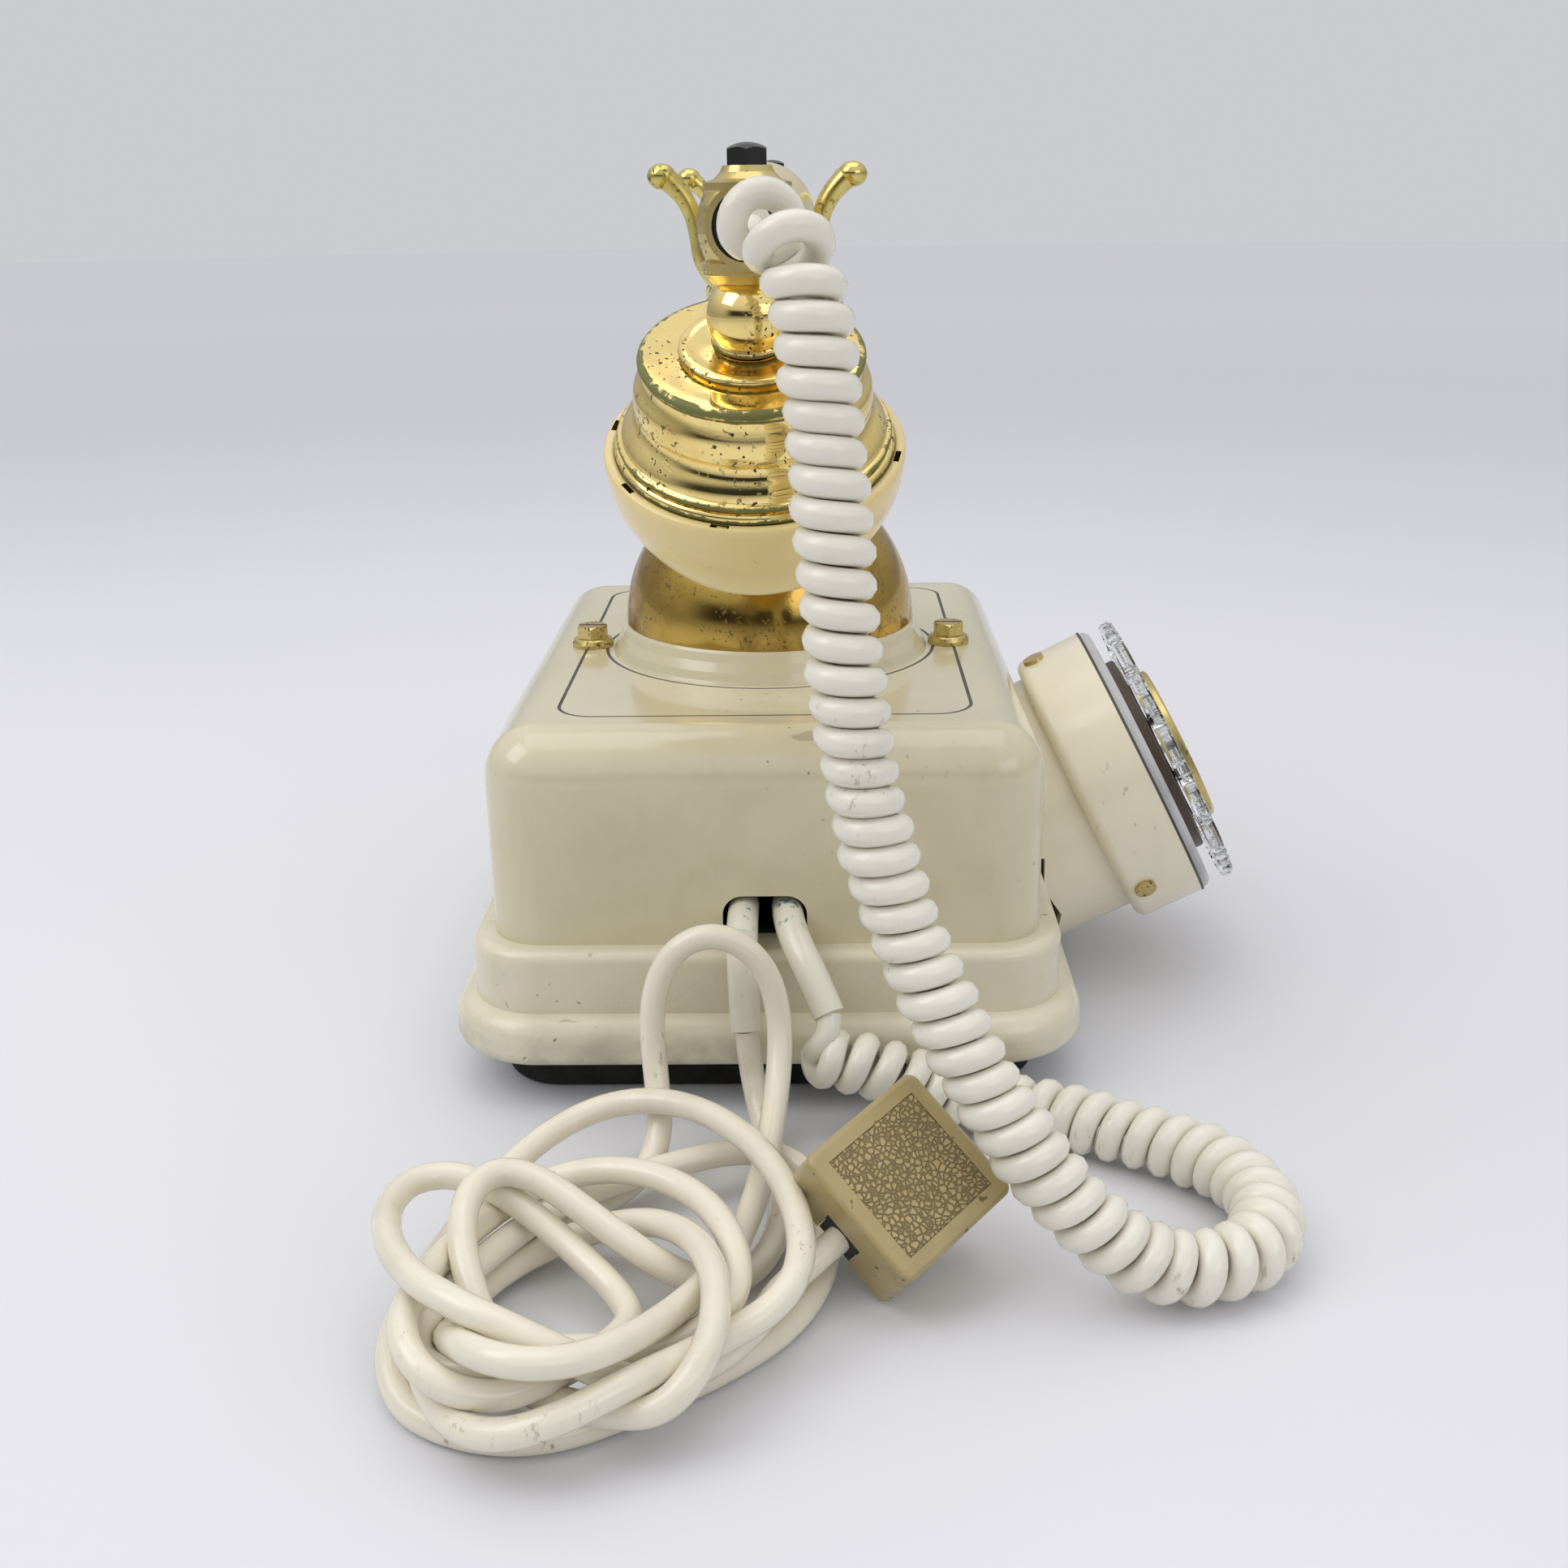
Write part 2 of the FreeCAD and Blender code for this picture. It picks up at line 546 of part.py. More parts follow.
def finger_wheel():
    wheel = rod(WHEEL_RADIUS - 1.2, (0, 0, WHEEL_BACK), (0, 0, WHEEL_FRONT))
    lobes = []
    for angle in [FIRST_HOLE + HOLE_PITCH * i for i in range(12)]:
        c = math.cos(math.radians(angle))
        s = math.sin(math.radians(angle))
        lobes.append(rod(9.0, ((WHEEL_RADIUS - 9.0) * c, (WHEEL_RADIUS - 9.0) * s, WHEEL_BACK),
                         ((WHEEL_RADIUS - 9.0) * c, (WHEEL_RADIUS - 9.0) * s, WHEEL_FRONT)))
    wheel = fused([wheel] + lobes)
    for angle in hole_angles():
        c = HOLE_CIRCLE * math.cos(math.radians(angle))
        s = HOLE_CIRCLE * math.sin(math.radians(angle))
        wheel = wheel.cut(rod(HOLE_RADIUS, (c, s, 0), (c, s, 20)))
    return dial_placed(wheel.cut(rod(3.0, (0, 0, 0), (0, 0, 20))))


def centre_disc():
    low = WHEEL_FRONT
    disc = turned([(3.0, low), (20.9, low), (20.9, low + 1.9), (20.3, low + 2.4), (18.6, low + 2.4),
                   (18.6, low + 1.6), (3.0, low + 1.6)])
    return dial_placed(disc)


def dial_shaft():
    """The dial's shaft with its main gear pressed on."""
    gear = rod(MAIN_GEAR, (0, 0, -5.5), (0, 0, -2.5))
    for i in range(5):
        angle = math.radians(72 * i)
        c = 9.5 * math.cos(angle)
        s = 9.5 * math.sin(angle)
        gear = gear.cut(rod(3.4, (c, s, -9), (c, s, 0)))
    shaft = rod(3.0, (0, 0, -14.4), (0, 0, WHEEL_FRONT + 1.6))
    return dial_placed(gear.fuse(shaft).removeSplitter())


def governor():
    x, y = GOVERNOR_AT
    wheel = turned([(1.5 + RUNNING_FIT, -9.5), (8.5, -9.5), (8.5, -7.0), (PINION, -7.0), (PINION, -2.2),
                    (1.5 + RUNNING_FIT, -2.2)])
    wheel.translate(V(x, y, 0))
    return dial_placed(wheel)


def dial_spring():
    """The flat return spring, half turns of growing radius that share one strip."""
    strip = []
    radius = 6.0
    for turn in range(6):
        sign = 1 if turn % 2 == 0 else -1
        shift = 0.5 if turn % 2 == 0 else -0.5
        ring = rod(radius + 0.35, (shift, 0, -10.6), (shift, 0, -7.4))
        ring = ring.cut(rod(radius - 0.35, (shift, 0, -11), (shift, 0, -7)))
        half = block((-40, 40), (0, 40), (-11, -7)) if sign > 0 else block((-40, 40), (-40, 0), (-11, -7))
        strip.append(ring.common(half))
        radius += 1.0
    return dial_placed(fused(strip))


def pulse_contacts():
    parts = [block((-26, -18), (-20, -8), (-11.0, -7.6))]
    for i in range(3):
        parts.append(block((-24, -23.2), (-18 + 3 * i, -17.2 + 3 * i), (-11.0, -3.0)))
    return dial_placed(fused(parts))


# ---- cradle -------------------------------------------------------------------------------
def cradle_post():
    return rod(POST_RADIUS, (0, 0, 36.0), (0, 0, 167.0))


def cradle_bar():
    hub = turned([(4.0, 165.2), (7.6, 165.2), (8.4, 166.6), (8.4, 174.6), (6.4, 176.0), (0, 176.4),
                  (0, 167.0), (4.0, 167.0)])
    arm = rod(3.0, (-FORK_X, 0, 170.4), (FORK_X, 0, 170.4))
    beads = []
    for side in (-1, 1):
        for x in (12.0, 34.0):
            bead = rod(3.9, (side * x, 0, 170.4), (side * (x + 2.4), 0, 170.4))
            beads.append(bead)
        beads.append(Part.makeSphere(4.6, V(side * FORK_X, 0, 170.4)))
    return fused([hub, arm] + beads).cut(rod(4.0, (0, 0, 160), (0, 0, 167.0)))


def cradle_fork(side):
    """A U-shaped fork of round brass with its tips curled outwards."""
    x = side * FORK_X
    half = [(x, 0.0, 176.6), (x, 6.6, 177.0), (x, 11.0, 180.2), (x, 12.9, 185.4), (x, 14.6, 191.0),
            (x, 17.2, 196.2), (x, 19.6, 199.0)]
    arms = []
    for flip in (-1, 1):
        points = [(px, flip * py, pz) for px, py, pz in half]
        arms.append(route_tube(points, 2.1, "fork"))
        tip = points[-1]
        arms.append(Part.makeSphere(2.5, V(tip[0], tip[1] + flip * 0.3, tip[2])))
    stub = rod(2.6, (x, 0, 174.0), (x, 0, 176.6))
    return fused(arms + [stub]).cut(Part.makeSphere(4.6, V(x, 0, 170.4)))


# ---- handset ------------------------------------------------------------------------------
def along_x(shape):
    """Lay a shape turned about Z along +X on the handset's axis."""
    laid = shape.copy()
    laid.Placement = FreeCAD.Placement(V(0, 0, AXIS_HEIGHT), FreeCAD.Rotation(V(0, 1, 0), 90))
    return laid


def handle_grip():
    end = FITTING_X - 9.4
    swell = HANDLE_MIDDLE - HANDLE_END
    outline = [(HANDLE_END + swell * math.cos(math.radians(90 * i / 12)) ** 1.6, end * i / 12)
               for i in range(12, -1, -1)]
    profile = [(4.0, end)] + outline + [(r, -x) for r, x in reversed(outline[:-1])] + [(4.0, -end)]
    return along_x(turned([(r, z) for r, z in profile]))


def handle_tube():
    end = FITTING_X - 6.0
    return along_x(turned([(2.8, -end), (4.0, -end), (4.0, end), (2.8, end)]))


def fitting(side):
    """The brass body that joins the handle, the cap's neck and, at the mouth end, the cord."""
    low = AXIS_HEIGHT - 10.2
    top = AXIS_HEIGHT + 10.3
    z = AXIS_HEIGHT
    body = turned([(0, low), (6.9, low), (8.5, low + 1.6), (8.5, low + 2.1), (8.9, low + 2.3),
                   (8.9, low + 3.7), (8.0, low + 4.2), (8.9, z - 3.6), (FITTING_RADIUS, z - 1.4),
                   (FITTING_RADIUS, z + 1.4), (8.9, z + 3.6), (8.0, z + 5.8), (8.1, z + 6.1), (8.1, z + 7.4),
                   (6.2, z + 8.0), (5.0, z + 9.2), (4.5, top), (0, top)])
    boss = rod(HANDLE_END + 0.9, (0, 0, z), (9.4, 0, z))
    body = body.fuse(boss)
    if side < 0:
        body = body.fuse(rod(7.4, (-9.9, 0, z), (0, 0, z)))
        body = body.cut(rod(6.2, (-12, 0, z), (-4.0, 0, z)))
    body = body.removeSplitter()
    body = body.cut(rod(4.0, (6.0, 0, z), (12.0, 0, z)))
    if side > 0:
        body.rotate(V(0, 0, 0), V(0, 0, 1), 180)
    body.translate(V(side * FITTING_X, 0, 0))
    return body


def hex_caps():
    caps = []
    low = AXIS_HEIGHT + 10.3
    for side in (-1, 1):
        prism = Part.Face(Part.makePolygon([V(4.1 * math.cos(math.radians(60 * i)),
                                              4.1 * math.sin(math.radians(60 * i)), 0)
                                            for i in range(7)])).extrude(V(0, 0, 4.2))
        cap = prism.common(Part.makeSphere(7.2, V(0, 0, -3.2)))
        cap.translate(V(side * FITTING_X, 0, low))
        caps.append(cap)
    return Part.makeCompound(caps)


def cap_frame(side, shape):
    """Put a shape turned about Z on a cap's own axis, which runs down and inwards from the ball."""
    scale = 1.0 if side < 0 else EAR_SCALE
    tilt = math.radians(MOUTH_TILT)
    moved = shape.copy()
    moved.scale(scale)
    down = V(-side * math.sin(tilt), 0, -math.cos(tilt))
    turn = FreeCAD.Rotation(V(0, 0, 1), down)
    ball = V(side * FITTING_X, 0, BALL_HEIGHT)
    moved.Placement = FreeCAD.Placement(ball, turn).multiply(moved.Placement)
    return moved


def cap_necks():
    necks = []
    for side in (-1, 1):
        ball = Part.makeSphere(BALL_RADIUS * (1.0 if side < 0 else EAR_SCALE), V(0, 0, 0))
        collar = turned([(0, 2.0), (6.9, 2.0), (7.2, 3.4), (7.2, 5.0), (0, 5.0)])
        neck = cap_frame(side, collar).fuse(Part.makeSphere(ball.BoundBox.XLength / 2,
                                                            V(side * FITTING_X, 0, BALL_HEIGHT)))
        neck = neck.cut(rod(20, (side * FITTING_X, 0, AXIS_HEIGHT - 10.2), (side * FITTING_X, 0, 210)))
        neck = neck.cut(cap_frame(side, rod(20, (0, 0, 5.0), (0, 0, 20))))
        necks.append(neck.removeSplitter())
    return Part.makeCompound(necks)


def cap_bell(side):
    """The stepped brass bell that carries a cap."""
    outer = [(7.6, 5.0), (10.5, 5.3), (12.9, 5.5), (13.8, 6.0), (13.8, 6.6), (13.0, 7.0), (19.8, 7.1),
             (21.2, 7.5), (21.6, 8.4), (21.2, 9.6), (21.6, 11.2), (22.6, 13.2), (23.2, 15.2), (23.4, 17.6),
             (24.0, 20.4), (25.0, 23.0), (26.2, 23.9), (26.6, 24.7), (26.3, 25.4), (27.1, 26.0),
             (27.4, 27.0), (27.1, 28.2)]
    inner = [(25.6, 28.2), (23.6, 24.0), (22.0, 18.0), (20.4, 11.0), (19.0, 8.8), (4.0, 8.8), (4.0, 5.0)]
    return cap_frame(side, turned(outer + inner))


def mouth_cup():
    outer = [(27.5, 27.2), (29.0, 27.2), (29.8, 28.2), (29.7, 31.0), (28.8, 36.0), (26.8, 41.0), (23.8, 46.0),
             (20.8, 49.6), (18.6, 51.4), (16.8, 52.0)]
    inner = [(0, 52.0), (0, 50.0), (16.4, 50.0), (18.8, 48.4), (22.0, 44.6), (24.8, 39.8), (26.6, 35.0),
             (27.4, 31.0), (27.5, 28.4)]
    cup = turned(outer + inner)
    for i in range(7):
        angle = math.radians(60 * i)
        reach = 0 if i == 6 else 9.0
        cup = cup.cut(rod(1.3, (reach * math.cos(angle), reach * math.sin(angle), 49),
                          (reach * math.cos(angle), reach * math.sin(angle), 53)))
    return cap_frame(-1, cup)


def ear_cup():
    outer = [(27.5, 27.2), (29.0, 27.2), (29.8, 28.2), (29.8, 32.0), (29.2, 36.0), (27.6, 39.4),
             (25.0, 41.2), (22.6, 41.6)]
    inner = [(18.0, 40.2), (12.0, 38.4), (0, 37.6), (0, 35.6), (12.0, 36.2), (24.0, 37.0), (27.0, 34.0),
             (27.4, 31.0), (27.5, 28.4)]
    cup = turned(outer + inner)
    for i in range(7):
        angle = math.radians(60 * i)
        reach = 0 if i == 6 else 5.0
        cup = cup.cut(rod(1.2, (reach * math.cos(angle), reach * math.sin(angle), 34),
                          (reach * math.cos(angle), reach * math.sin(angle), 40)))
    return cap_frame(1, cup)


def voice_capsules():
    """The transmitter and the receiver, two alike."""
    low, high = 25.5, 33.5
    body = turned([(0, low), (22.0, low), (22.0, low + 2), (20.8, low + 2.4), (20.8, high), (0, high)])
    return Part.makeCompound([cap_frame(-1, body), cap_frame(1, body)])


def cord_bush():
    """The black rubber bush in the mouth fitting's bore, open to take the grommet."""
    z = AXIS_HEIGHT
    x = -FITTING_X
    bush = rod(6.2, (x - 9.4, 0, z), (x - 4.0, 0, z))
    return bush.cut(rod(4.6, (x - 10, 0, z), (x - 6.5, 0, z)))


def cord_grommet():
    z = AXIS_HEIGHT
    x = -FITTING_X
    body = rod(4.6, (x - 10.8, 0, z), (x - 6.5, 0, z))
    nose = rod(3.7, (x - 12.8, 0, z), (x - 10.8, 0, z))
    return fused([body, nose])


# ---- cords and plug -----------------------------------------------------------------------
def line_cord_coil():
    """The outer shape of the loosely wound line cord: a low oval ring with slanted walls."""
    ring = turned([(17.0, 0.0), (44.0, 0.0), (46.0, 4.0), (43.6, 10.0), (35.0, COIL_HEIGHT),
                   (27.0, COIL_HEIGHT), (18.0, 9.0)])
    oval = FreeCAD.Matrix()
    oval.scale(V(0.98, 0.92, 1.0))
    ring = ring.transformGeometry(oval)
    ring.translate(COIL_MIDDLE)
    return ring


def plug_placed(shape):
    return placed(shape, PLUG_FACE, PLUG_NORMAL, PLUG_ACROSS)


def plug_body():
    half = PLUG_SIDE / 2
    box = block((-half, half), (-half, half), (-PLUG_DEPTH, 0.0))
    corners = [e for e in box.Edges if e.BoundBox.ZLength > 5]
    box = box.makeFillet(2.2, corners)
    box = rounded(box, 0.0, 1.2)
    box = box.cut(block((-half + 3.4, half - 3.4), (-half + 3.4, half - 3.4), (-0.5, 1)))
    box = box.cut(block((-half + 2.2, half - 2.2), (-half + 2.2, half - 2.2), (-PLUG_DEPTH - 1, -2.4)))
    box = box.cut(block((-half - 1, -half + 4), (-4.4, 4.4), (-PLUG_DEPTH - 1, -8.0)))
    return plug_placed(box)


def plug_base():
    """The black inner block with the cord's gland."""
    half = PLUG_SIDE / 2 - 2.2
    base = block((-half, half), (-half, half), (-PLUG_DEPTH + 0.4, -6.0))
    gland = block((-half - 2.0, -half), (-4.2, 4.2), (-PLUG_DEPTH + 0.4, -8.2))
    return plug_placed(fused([base, gland]))


# ---- every node ---------------------------------------------------------------------------
NODES = {
    "base_pad": base_pad, "base_plate": base_plate, "base_screws": base_screws, "plinth": plinth,
    "housing": housing, "bell_seat": bell_seat, "bell_dome": bell_dome, "cradle_column": cradle_column,
    "thumb_nuts": thumb_nuts, "housing_studs": housing_studs, "line_sleeve": line_sleeve,
    "handset_sleeve": handset_sleeve, "circuit_board": circuit_board,
    "board_standoffs": board_standoffs, "hook_switch": hook_switch,
    "hook_spring": hook_spring, "ringer_frame": ringer_frame, "ringer_coils": ringer_coils,
    "gong_large": lambda: gong(23.0, (48.0, 30.0, 0)), "gong_small": lambda: gong(20.5, (46.0, -29.0, 0)),
    "clapper": clapper, "volume_wheel": volume_wheel, "volume_control": volume_control,
    "dial_bracket": dial_bracket, "dial_drum": dial_drum, "drum_screws": drum_screws,
    "dial_frame": dial_frame, "number_ring": number_ring, "number_disc": number_disc,
    "finger_stop": finger_stop, "finger_wheel": finger_wheel, "centre_disc": centre_disc,
    "dial_shaft": dial_shaft, "governor": governor,
    "dial_spring": dial_spring, "pulse_contacts": pulse_contacts, "cradle_post": cradle_post,
    "cradle_bar": cradle_bar, "cradle_fork_mouth": lambda: cradle_fork(-1),
    "cradle_fork_ear": lambda: cradle_fork(1), "handle_grip": handle_grip, "handle_tube": handle_tube,
    "mouth_fitting": lambda: fitting(-1), "ear_fitting": lambda: fitting(1), "hex_caps": hex_caps,
    "cap_necks": cap_necks, "mouth_bell": lambda: cap_bell(-1), "ear_bell": lambda: cap_bell(1),
    "mouth_cup": mouth_cup, "ear_cup": ear_cup,
    "voice_capsules": voice_capsules, "cord_bush": cord_bush, "cord_grommet": cord_grommet,
    "handset_cord": lambda: route_tube(HANDSET_CORD_ROUTE, COIL_RADIUS, "handset_cord"),
    "line_cord_lead": lambda: route_tube(LINE_LEAD_ROUTE, CORD_RADIUS, "line_cord_lead"),
    "line_cord_loop": lambda: route_tube(LINE_LOOP_ROUTE, CORD_RADIUS, "line_cord_loop"),
    "line_cord_tail": lambda: route_tube(LINE_TAIL_ROUTE, CORD_RADIUS, "line_cord_tail"),
    "line_cord_coil": line_cord_coil, "plug_body": plug_body, "plug_base": plug_base,
}

for name, make in NODES.items():
    save(name, make())
print(len(NODES), "nodes")
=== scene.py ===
"""Retro table telephone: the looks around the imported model.

Everything is in metres in the model's own frame: +Z up, the dial towards -Y, the mouthpiece at -X.
"""
import math

import bpy
from mathutils import Matrix, Vector


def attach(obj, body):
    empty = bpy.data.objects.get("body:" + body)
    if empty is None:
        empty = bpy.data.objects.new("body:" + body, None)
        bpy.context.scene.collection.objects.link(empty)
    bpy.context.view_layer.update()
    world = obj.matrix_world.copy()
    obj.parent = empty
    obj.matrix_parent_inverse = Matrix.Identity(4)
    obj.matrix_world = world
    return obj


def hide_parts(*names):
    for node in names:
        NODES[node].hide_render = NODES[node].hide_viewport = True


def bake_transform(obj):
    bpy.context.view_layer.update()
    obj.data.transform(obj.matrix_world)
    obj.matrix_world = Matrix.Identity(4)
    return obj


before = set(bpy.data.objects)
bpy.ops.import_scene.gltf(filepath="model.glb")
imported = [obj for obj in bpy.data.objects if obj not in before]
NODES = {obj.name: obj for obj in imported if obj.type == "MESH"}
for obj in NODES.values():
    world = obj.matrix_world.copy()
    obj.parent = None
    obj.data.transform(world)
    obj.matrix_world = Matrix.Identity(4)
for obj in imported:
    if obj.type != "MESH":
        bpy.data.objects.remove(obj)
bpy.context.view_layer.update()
MM = 0.001

# ---- cords' centre lines, in metres --------------------------------------------------------
# The curly cord, from the handset's grommet to its sleeve.
HANDSET_CORD_ROUTE = [
    (-0.1129, 0.0, 0.190), (-0.1196, 0.0, 0.190), (-0.1264, -0.0046, 0.1908),
    (-0.1308, -0.0096, 0.1854), (-0.1324, -0.0118, 0.175), (-0.1338, -0.0136, 0.158),
    (-0.1362, -0.0152, 0.136), (-0.139, -0.017, 0.113), (-0.142, -0.021, 0.089),
    (-0.145, -0.027, 0.070), (-0.149, -0.034, 0.0555), (-0.154, -0.042, 0.041),
    (-0.1585, -0.052, 0.027), (-0.1615, -0.063, 0.0155), (-0.162, -0.074, 0.0085),
    (-0.1605, -0.085, 0.0076), (-0.1545, -0.0945, 0.0076), (-0.143, -0.099, 0.0076),
    (-0.1305, -0.097, 0.0076), (-0.1205, -0.0885, 0.0076), (-0.113, -0.0765, 0.0076),
    (-0.1058, -0.064, 0.0076), (-0.1012, -0.050, 0.0080), (-0.1012, -0.0375, 0.0110),
    (-0.1016, -0.027, 0.0160), (-0.1014, -0.0185, 0.0185), (-0.1018, -0.0100, 0.0190),
    (-0.1038, -0.0105, 0.0232), (-0.1028, -0.0158, 0.0252), (-0.100, -0.014, 0.029)]
# The line cord, from its sleeve to the plug. A separate relaxation program pushed its strands
# apart and gave these points: they were not chosen one by one.
LINE_CORD_ROUTE = [
    (-0.0975, 0.0039, 0.0240), (-0.0988, 0.0032, 0.0170), (-0.1020, 0.0019, 0.0110),
    (-0.1076, 0.0002, 0.0064), (-0.1183, -0.0034, 0.0035), (-0.1332, -0.0047, 0.0027),
    (-0.1482, -0.0024, 0.0029), (-0.1588, 0.0026, 0.0038), (-0.1629, 0.0093, 0.0059),
    (-0.1628, 0.0166, 0.0093), (-0.1605, 0.0242, 0.0135), (-0.1564, 0.0323, 0.0177),
    (-0.1517, 0.0405, 0.0211), (-0.1511, 0.0482, 0.0231), (-0.1576, 0.0529, 0.0229),
    (-0.1687, 0.0527, 0.0205), (-0.1779, 0.0491, 0.0149), (-0.1853, 0.0439, 0.0086),
    (-0.1916, 0.0374, 0.0048), (-0.1972, 0.0301, 0.0071), (-0.2012, 0.0221, 0.0085),
    (-0.2025, 0.0142, 0.0100), (-0.1991, 0.0083, 0.0149), (-0.1906, 0.0055, 0.0187),
    (-0.1776, 0.0064, 0.0190), (-0.1637, 0.0109, 0.0165), (-0.1526, 0.0188, 0.0126),
    (-0.1475, 0.0286, 0.0085), (-0.1485, 0.0386, 0.0053), (-0.1550, 0.0476, 0.0040),
    (-0.1667, 0.0534, 0.0044), (-0.1811, 0.0533, 0.0084), (-0.1946, 0.0494, 0.0183),
    (-0.2043, 0.0425, 0.0224), (-0.2072, 0.0338, 0.0226), (-0.2029, 0.0249, 0.0209),
    (-0.1924, 0.0169, 0.0180), (-0.1773, 0.0104, 0.0137), (-0.1605, 0.0051, 0.0098),
    (-0.1436, 0.0012, 0.0093), (-0.1273, -0.0015, 0.0128), (-0.1117, -0.0033, 0.0198),
    (-0.1050, -0.0037, 0.0288), (-0.1032, -0.0022, 0.0377), (-0.1029, 0.0017, 0.0448),
    (-0.1029, 0.0074, 0.0487), (-0.1029, 0.0137, 0.0487), (-0.1032, 0.0195, 0.0445),
    (-0.1039, 0.0230, 0.0367), (-0.1055, 0.0237, 0.0269), (-0.1097, 0.0224, 0.0168),
    (-0.1180, 0.0213, 0.0090), (-0.1256, 0.0251, 0.0046), (-0.1336, 0.0336, 0.0029),
    (-0.1429, 0.0434, 0.0027), (-0.1534, 0.0526, 0.0027), (-0.1653, 0.0585, 0.0028),
    (-0.1790, 0.0588, 0.0048), (-0.1933, 0.0547, 0.0077), (-0.2048, 0.0473, 0.0084),
    (-0.2095, 0.0379, 0.0109), (-0.2078, 0.0283, 0.0137), (-0.2013, 0.0192, 0.0148),
    (-0.1930, 0.0108, 0.0132), (-0.1858, 0.0029, 0.0125), (-0.1803, -0.0038, 0.0137),
    (-0.1745, -0.0079, 0.0160), (-0.1653, -0.0087, 0.0181), (-0.1520, -0.0059, 0.0193),
    (-0.1376, 0.0003, 0.0196), (-0.1251, 0.0094, 0.0192), (-0.1172, 0.0200, 0.0182),
    (-0.1148, 0.0307, 0.0163), (-0.1182, 0.0404, 0.0140), (-0.1277, 0.0485, 0.0121),
    (-0.1419, 0.0542, 0.0109), (-0.1578, 0.0586, 0.0101), (-0.1720, 0.0623, 0.0089),
    (-0.1831, 0.0637, 0.0062), (-0.1918, 0.0597, 0.0027), (-0.1980, 0.0511, 0.0027),
    (-0.2008, 0.0410, 0.0027), (-0.1996, 0.0313, 0.0027), (-0.1946, 0.0219, 0.0027),
    (-0.1880, 0.0122, 0.0027), (-0.1802, 0.0022, 0.0027), (-0.1704, -0.0066, 0.0027),
    (-0.1576, -0.0124, 0.0034), (-0.1423, -0.0140, 0.0048), (-0.1288, -0.0109, 0.0069),
    (-0.1228, -0.0035, 0.0089), (-0.1230, 0.0064, 0.0095), (-0.1270, 0.0177, 0.0091),
    (-0.1326, 0.0290, 0.0084), (-0.1409, 0.0395, 0.0085), (-0.1558, 0.0479, 0.0101),
    (-0.1730, 0.0543, 0.0123), (-0.1867, 0.0576, 0.0138), (-0.1949, 0.0542, 0.0123),
    (-0.1969, 0.0455, 0.0138), (-0.1954, 0.0348, 0.0165), (-0.1916, 0.0239, 0.0135),
    (-0.1868, 0.0140, 0.0103), (-0.1818, 0.0062, 0.0115), (-0.1743, 0.0024, 0.0139),
    (-0.1636, 0.0039, 0.0161), (-0.1530, 0.0095, 0.0172), (-0.1451, 0.0179, 0.0173),
    (-0.1404, 0.0275, 0.0164), (-0.1394, 0.0370, 0.0147), (-0.1426, 0.0454, 0.0128),
    (-0.1521, 0.0519, 0.0126), (-0.1688, 0.0562, 0.0162), (-0.1849, 0.0587, 0.0189),
    (-0.1959, 0.0572, 0.0179), (-0.2019, 0.0507, 0.0149), (-0.2015, 0.0412, 0.0113),
    (-0.1940, 0.0319, 0.0106), (-0.1838, 0.0247, 0.0084), (-0.1744, 0.0214, 0.0068),
    (-0.1661, 0.0258, 0.0074), (-0.1584, 0.0344, 0.0106), (-0.1527, 0.0435, 0.0154),
    (-0.1493, 0.0520, 0.0191), (-0.1478, 0.0601, 0.0201), (-0.1518, 0.0662, 0.0205),
    (-0.1622, 0.0675, 0.0213), (-0.1754, 0.0637, 0.0228), (-0.1872, 0.0564, 0.0243),
    (-0.1944, 0.0479, 0.0247), (-0.1977, 0.0394, 0.0228), (-0.1989, 0.0306, 0.0188),
    (-0.1971, 0.0218, 0.0119), (-0.1924, 0.0128, 0.0076), (-0.1850, 0.0045, 0.0076),
    (-0.1768, -0.0011, 0.0083), (-0.1706, -0.0032, 0.0081), (-0.1655, -0.0065, 0.0086),
    (-0.1612, -0.0114, 0.0106), (-0.1577, -0.0153, 0.0121)]
LINE_SLEEVE_ROUTE = [
    (-0.074, 0.0049, 0.0436), (-0.083, 0.0049, 0.0436), (-0.0895, 0.0048, 0.0406),
    (-0.094, 0.0045, 0.0346), (-0.0975, 0.0039, 0.024)]
HANDSET_SLEEVE_ROUTE = [
    (-0.074, -0.0049, 0.0436), (-0.083, -0.0052, 0.0436), (-0.0902, -0.0074, 0.0404),
    (-0.0956, -0.0106, 0.0358), (-0.100, -0.014, 0.029)]

CABLE_RADIUS = 2.7 * MM
COIL_RADIUS = 7.4 * MM
BALL_HEIGHT = 173.8 * MM
FITTING_X = 100 * MM
AXIS_HEIGHT = 190 * MM
CAP_TILT = math.radians(26)
EAR_CAP_SIZE = 0.92         # the ear's cap against the mouth's
SLEEVE_RADIUS = 3.5 * MM
LEAST_RING = 0.05           # the least radius of a lathe piece's ring, in millimetres
FIRST_HOLE = 8              # the finger holes' places round the dial, in degrees
HOLE_PITCH = 30
DIAL_FRAME = Matrix.Translation((0, -0.0968, 0.0521)) @ Matrix.Rotation(math.radians(63), 4, "X")
PLUG_NORMAL = Vector((-0.619, -0.272, 0.737)).normalized()
PLUG_SIDE = PLUG_NORMAL.cross(Vector((0.646, -0.709, 0.281))).normalized()
PLUG_ACROSS = PLUG_SIDE.cross(PLUG_NORMAL)
PLUG_FRAME = Matrix.Translation((-0.1556, -0.0286, 0.0247)) @ Matrix((
    PLUG_ACROSS, PLUG_SIDE, PLUG_NORMAL)).transposed().to_4x4()


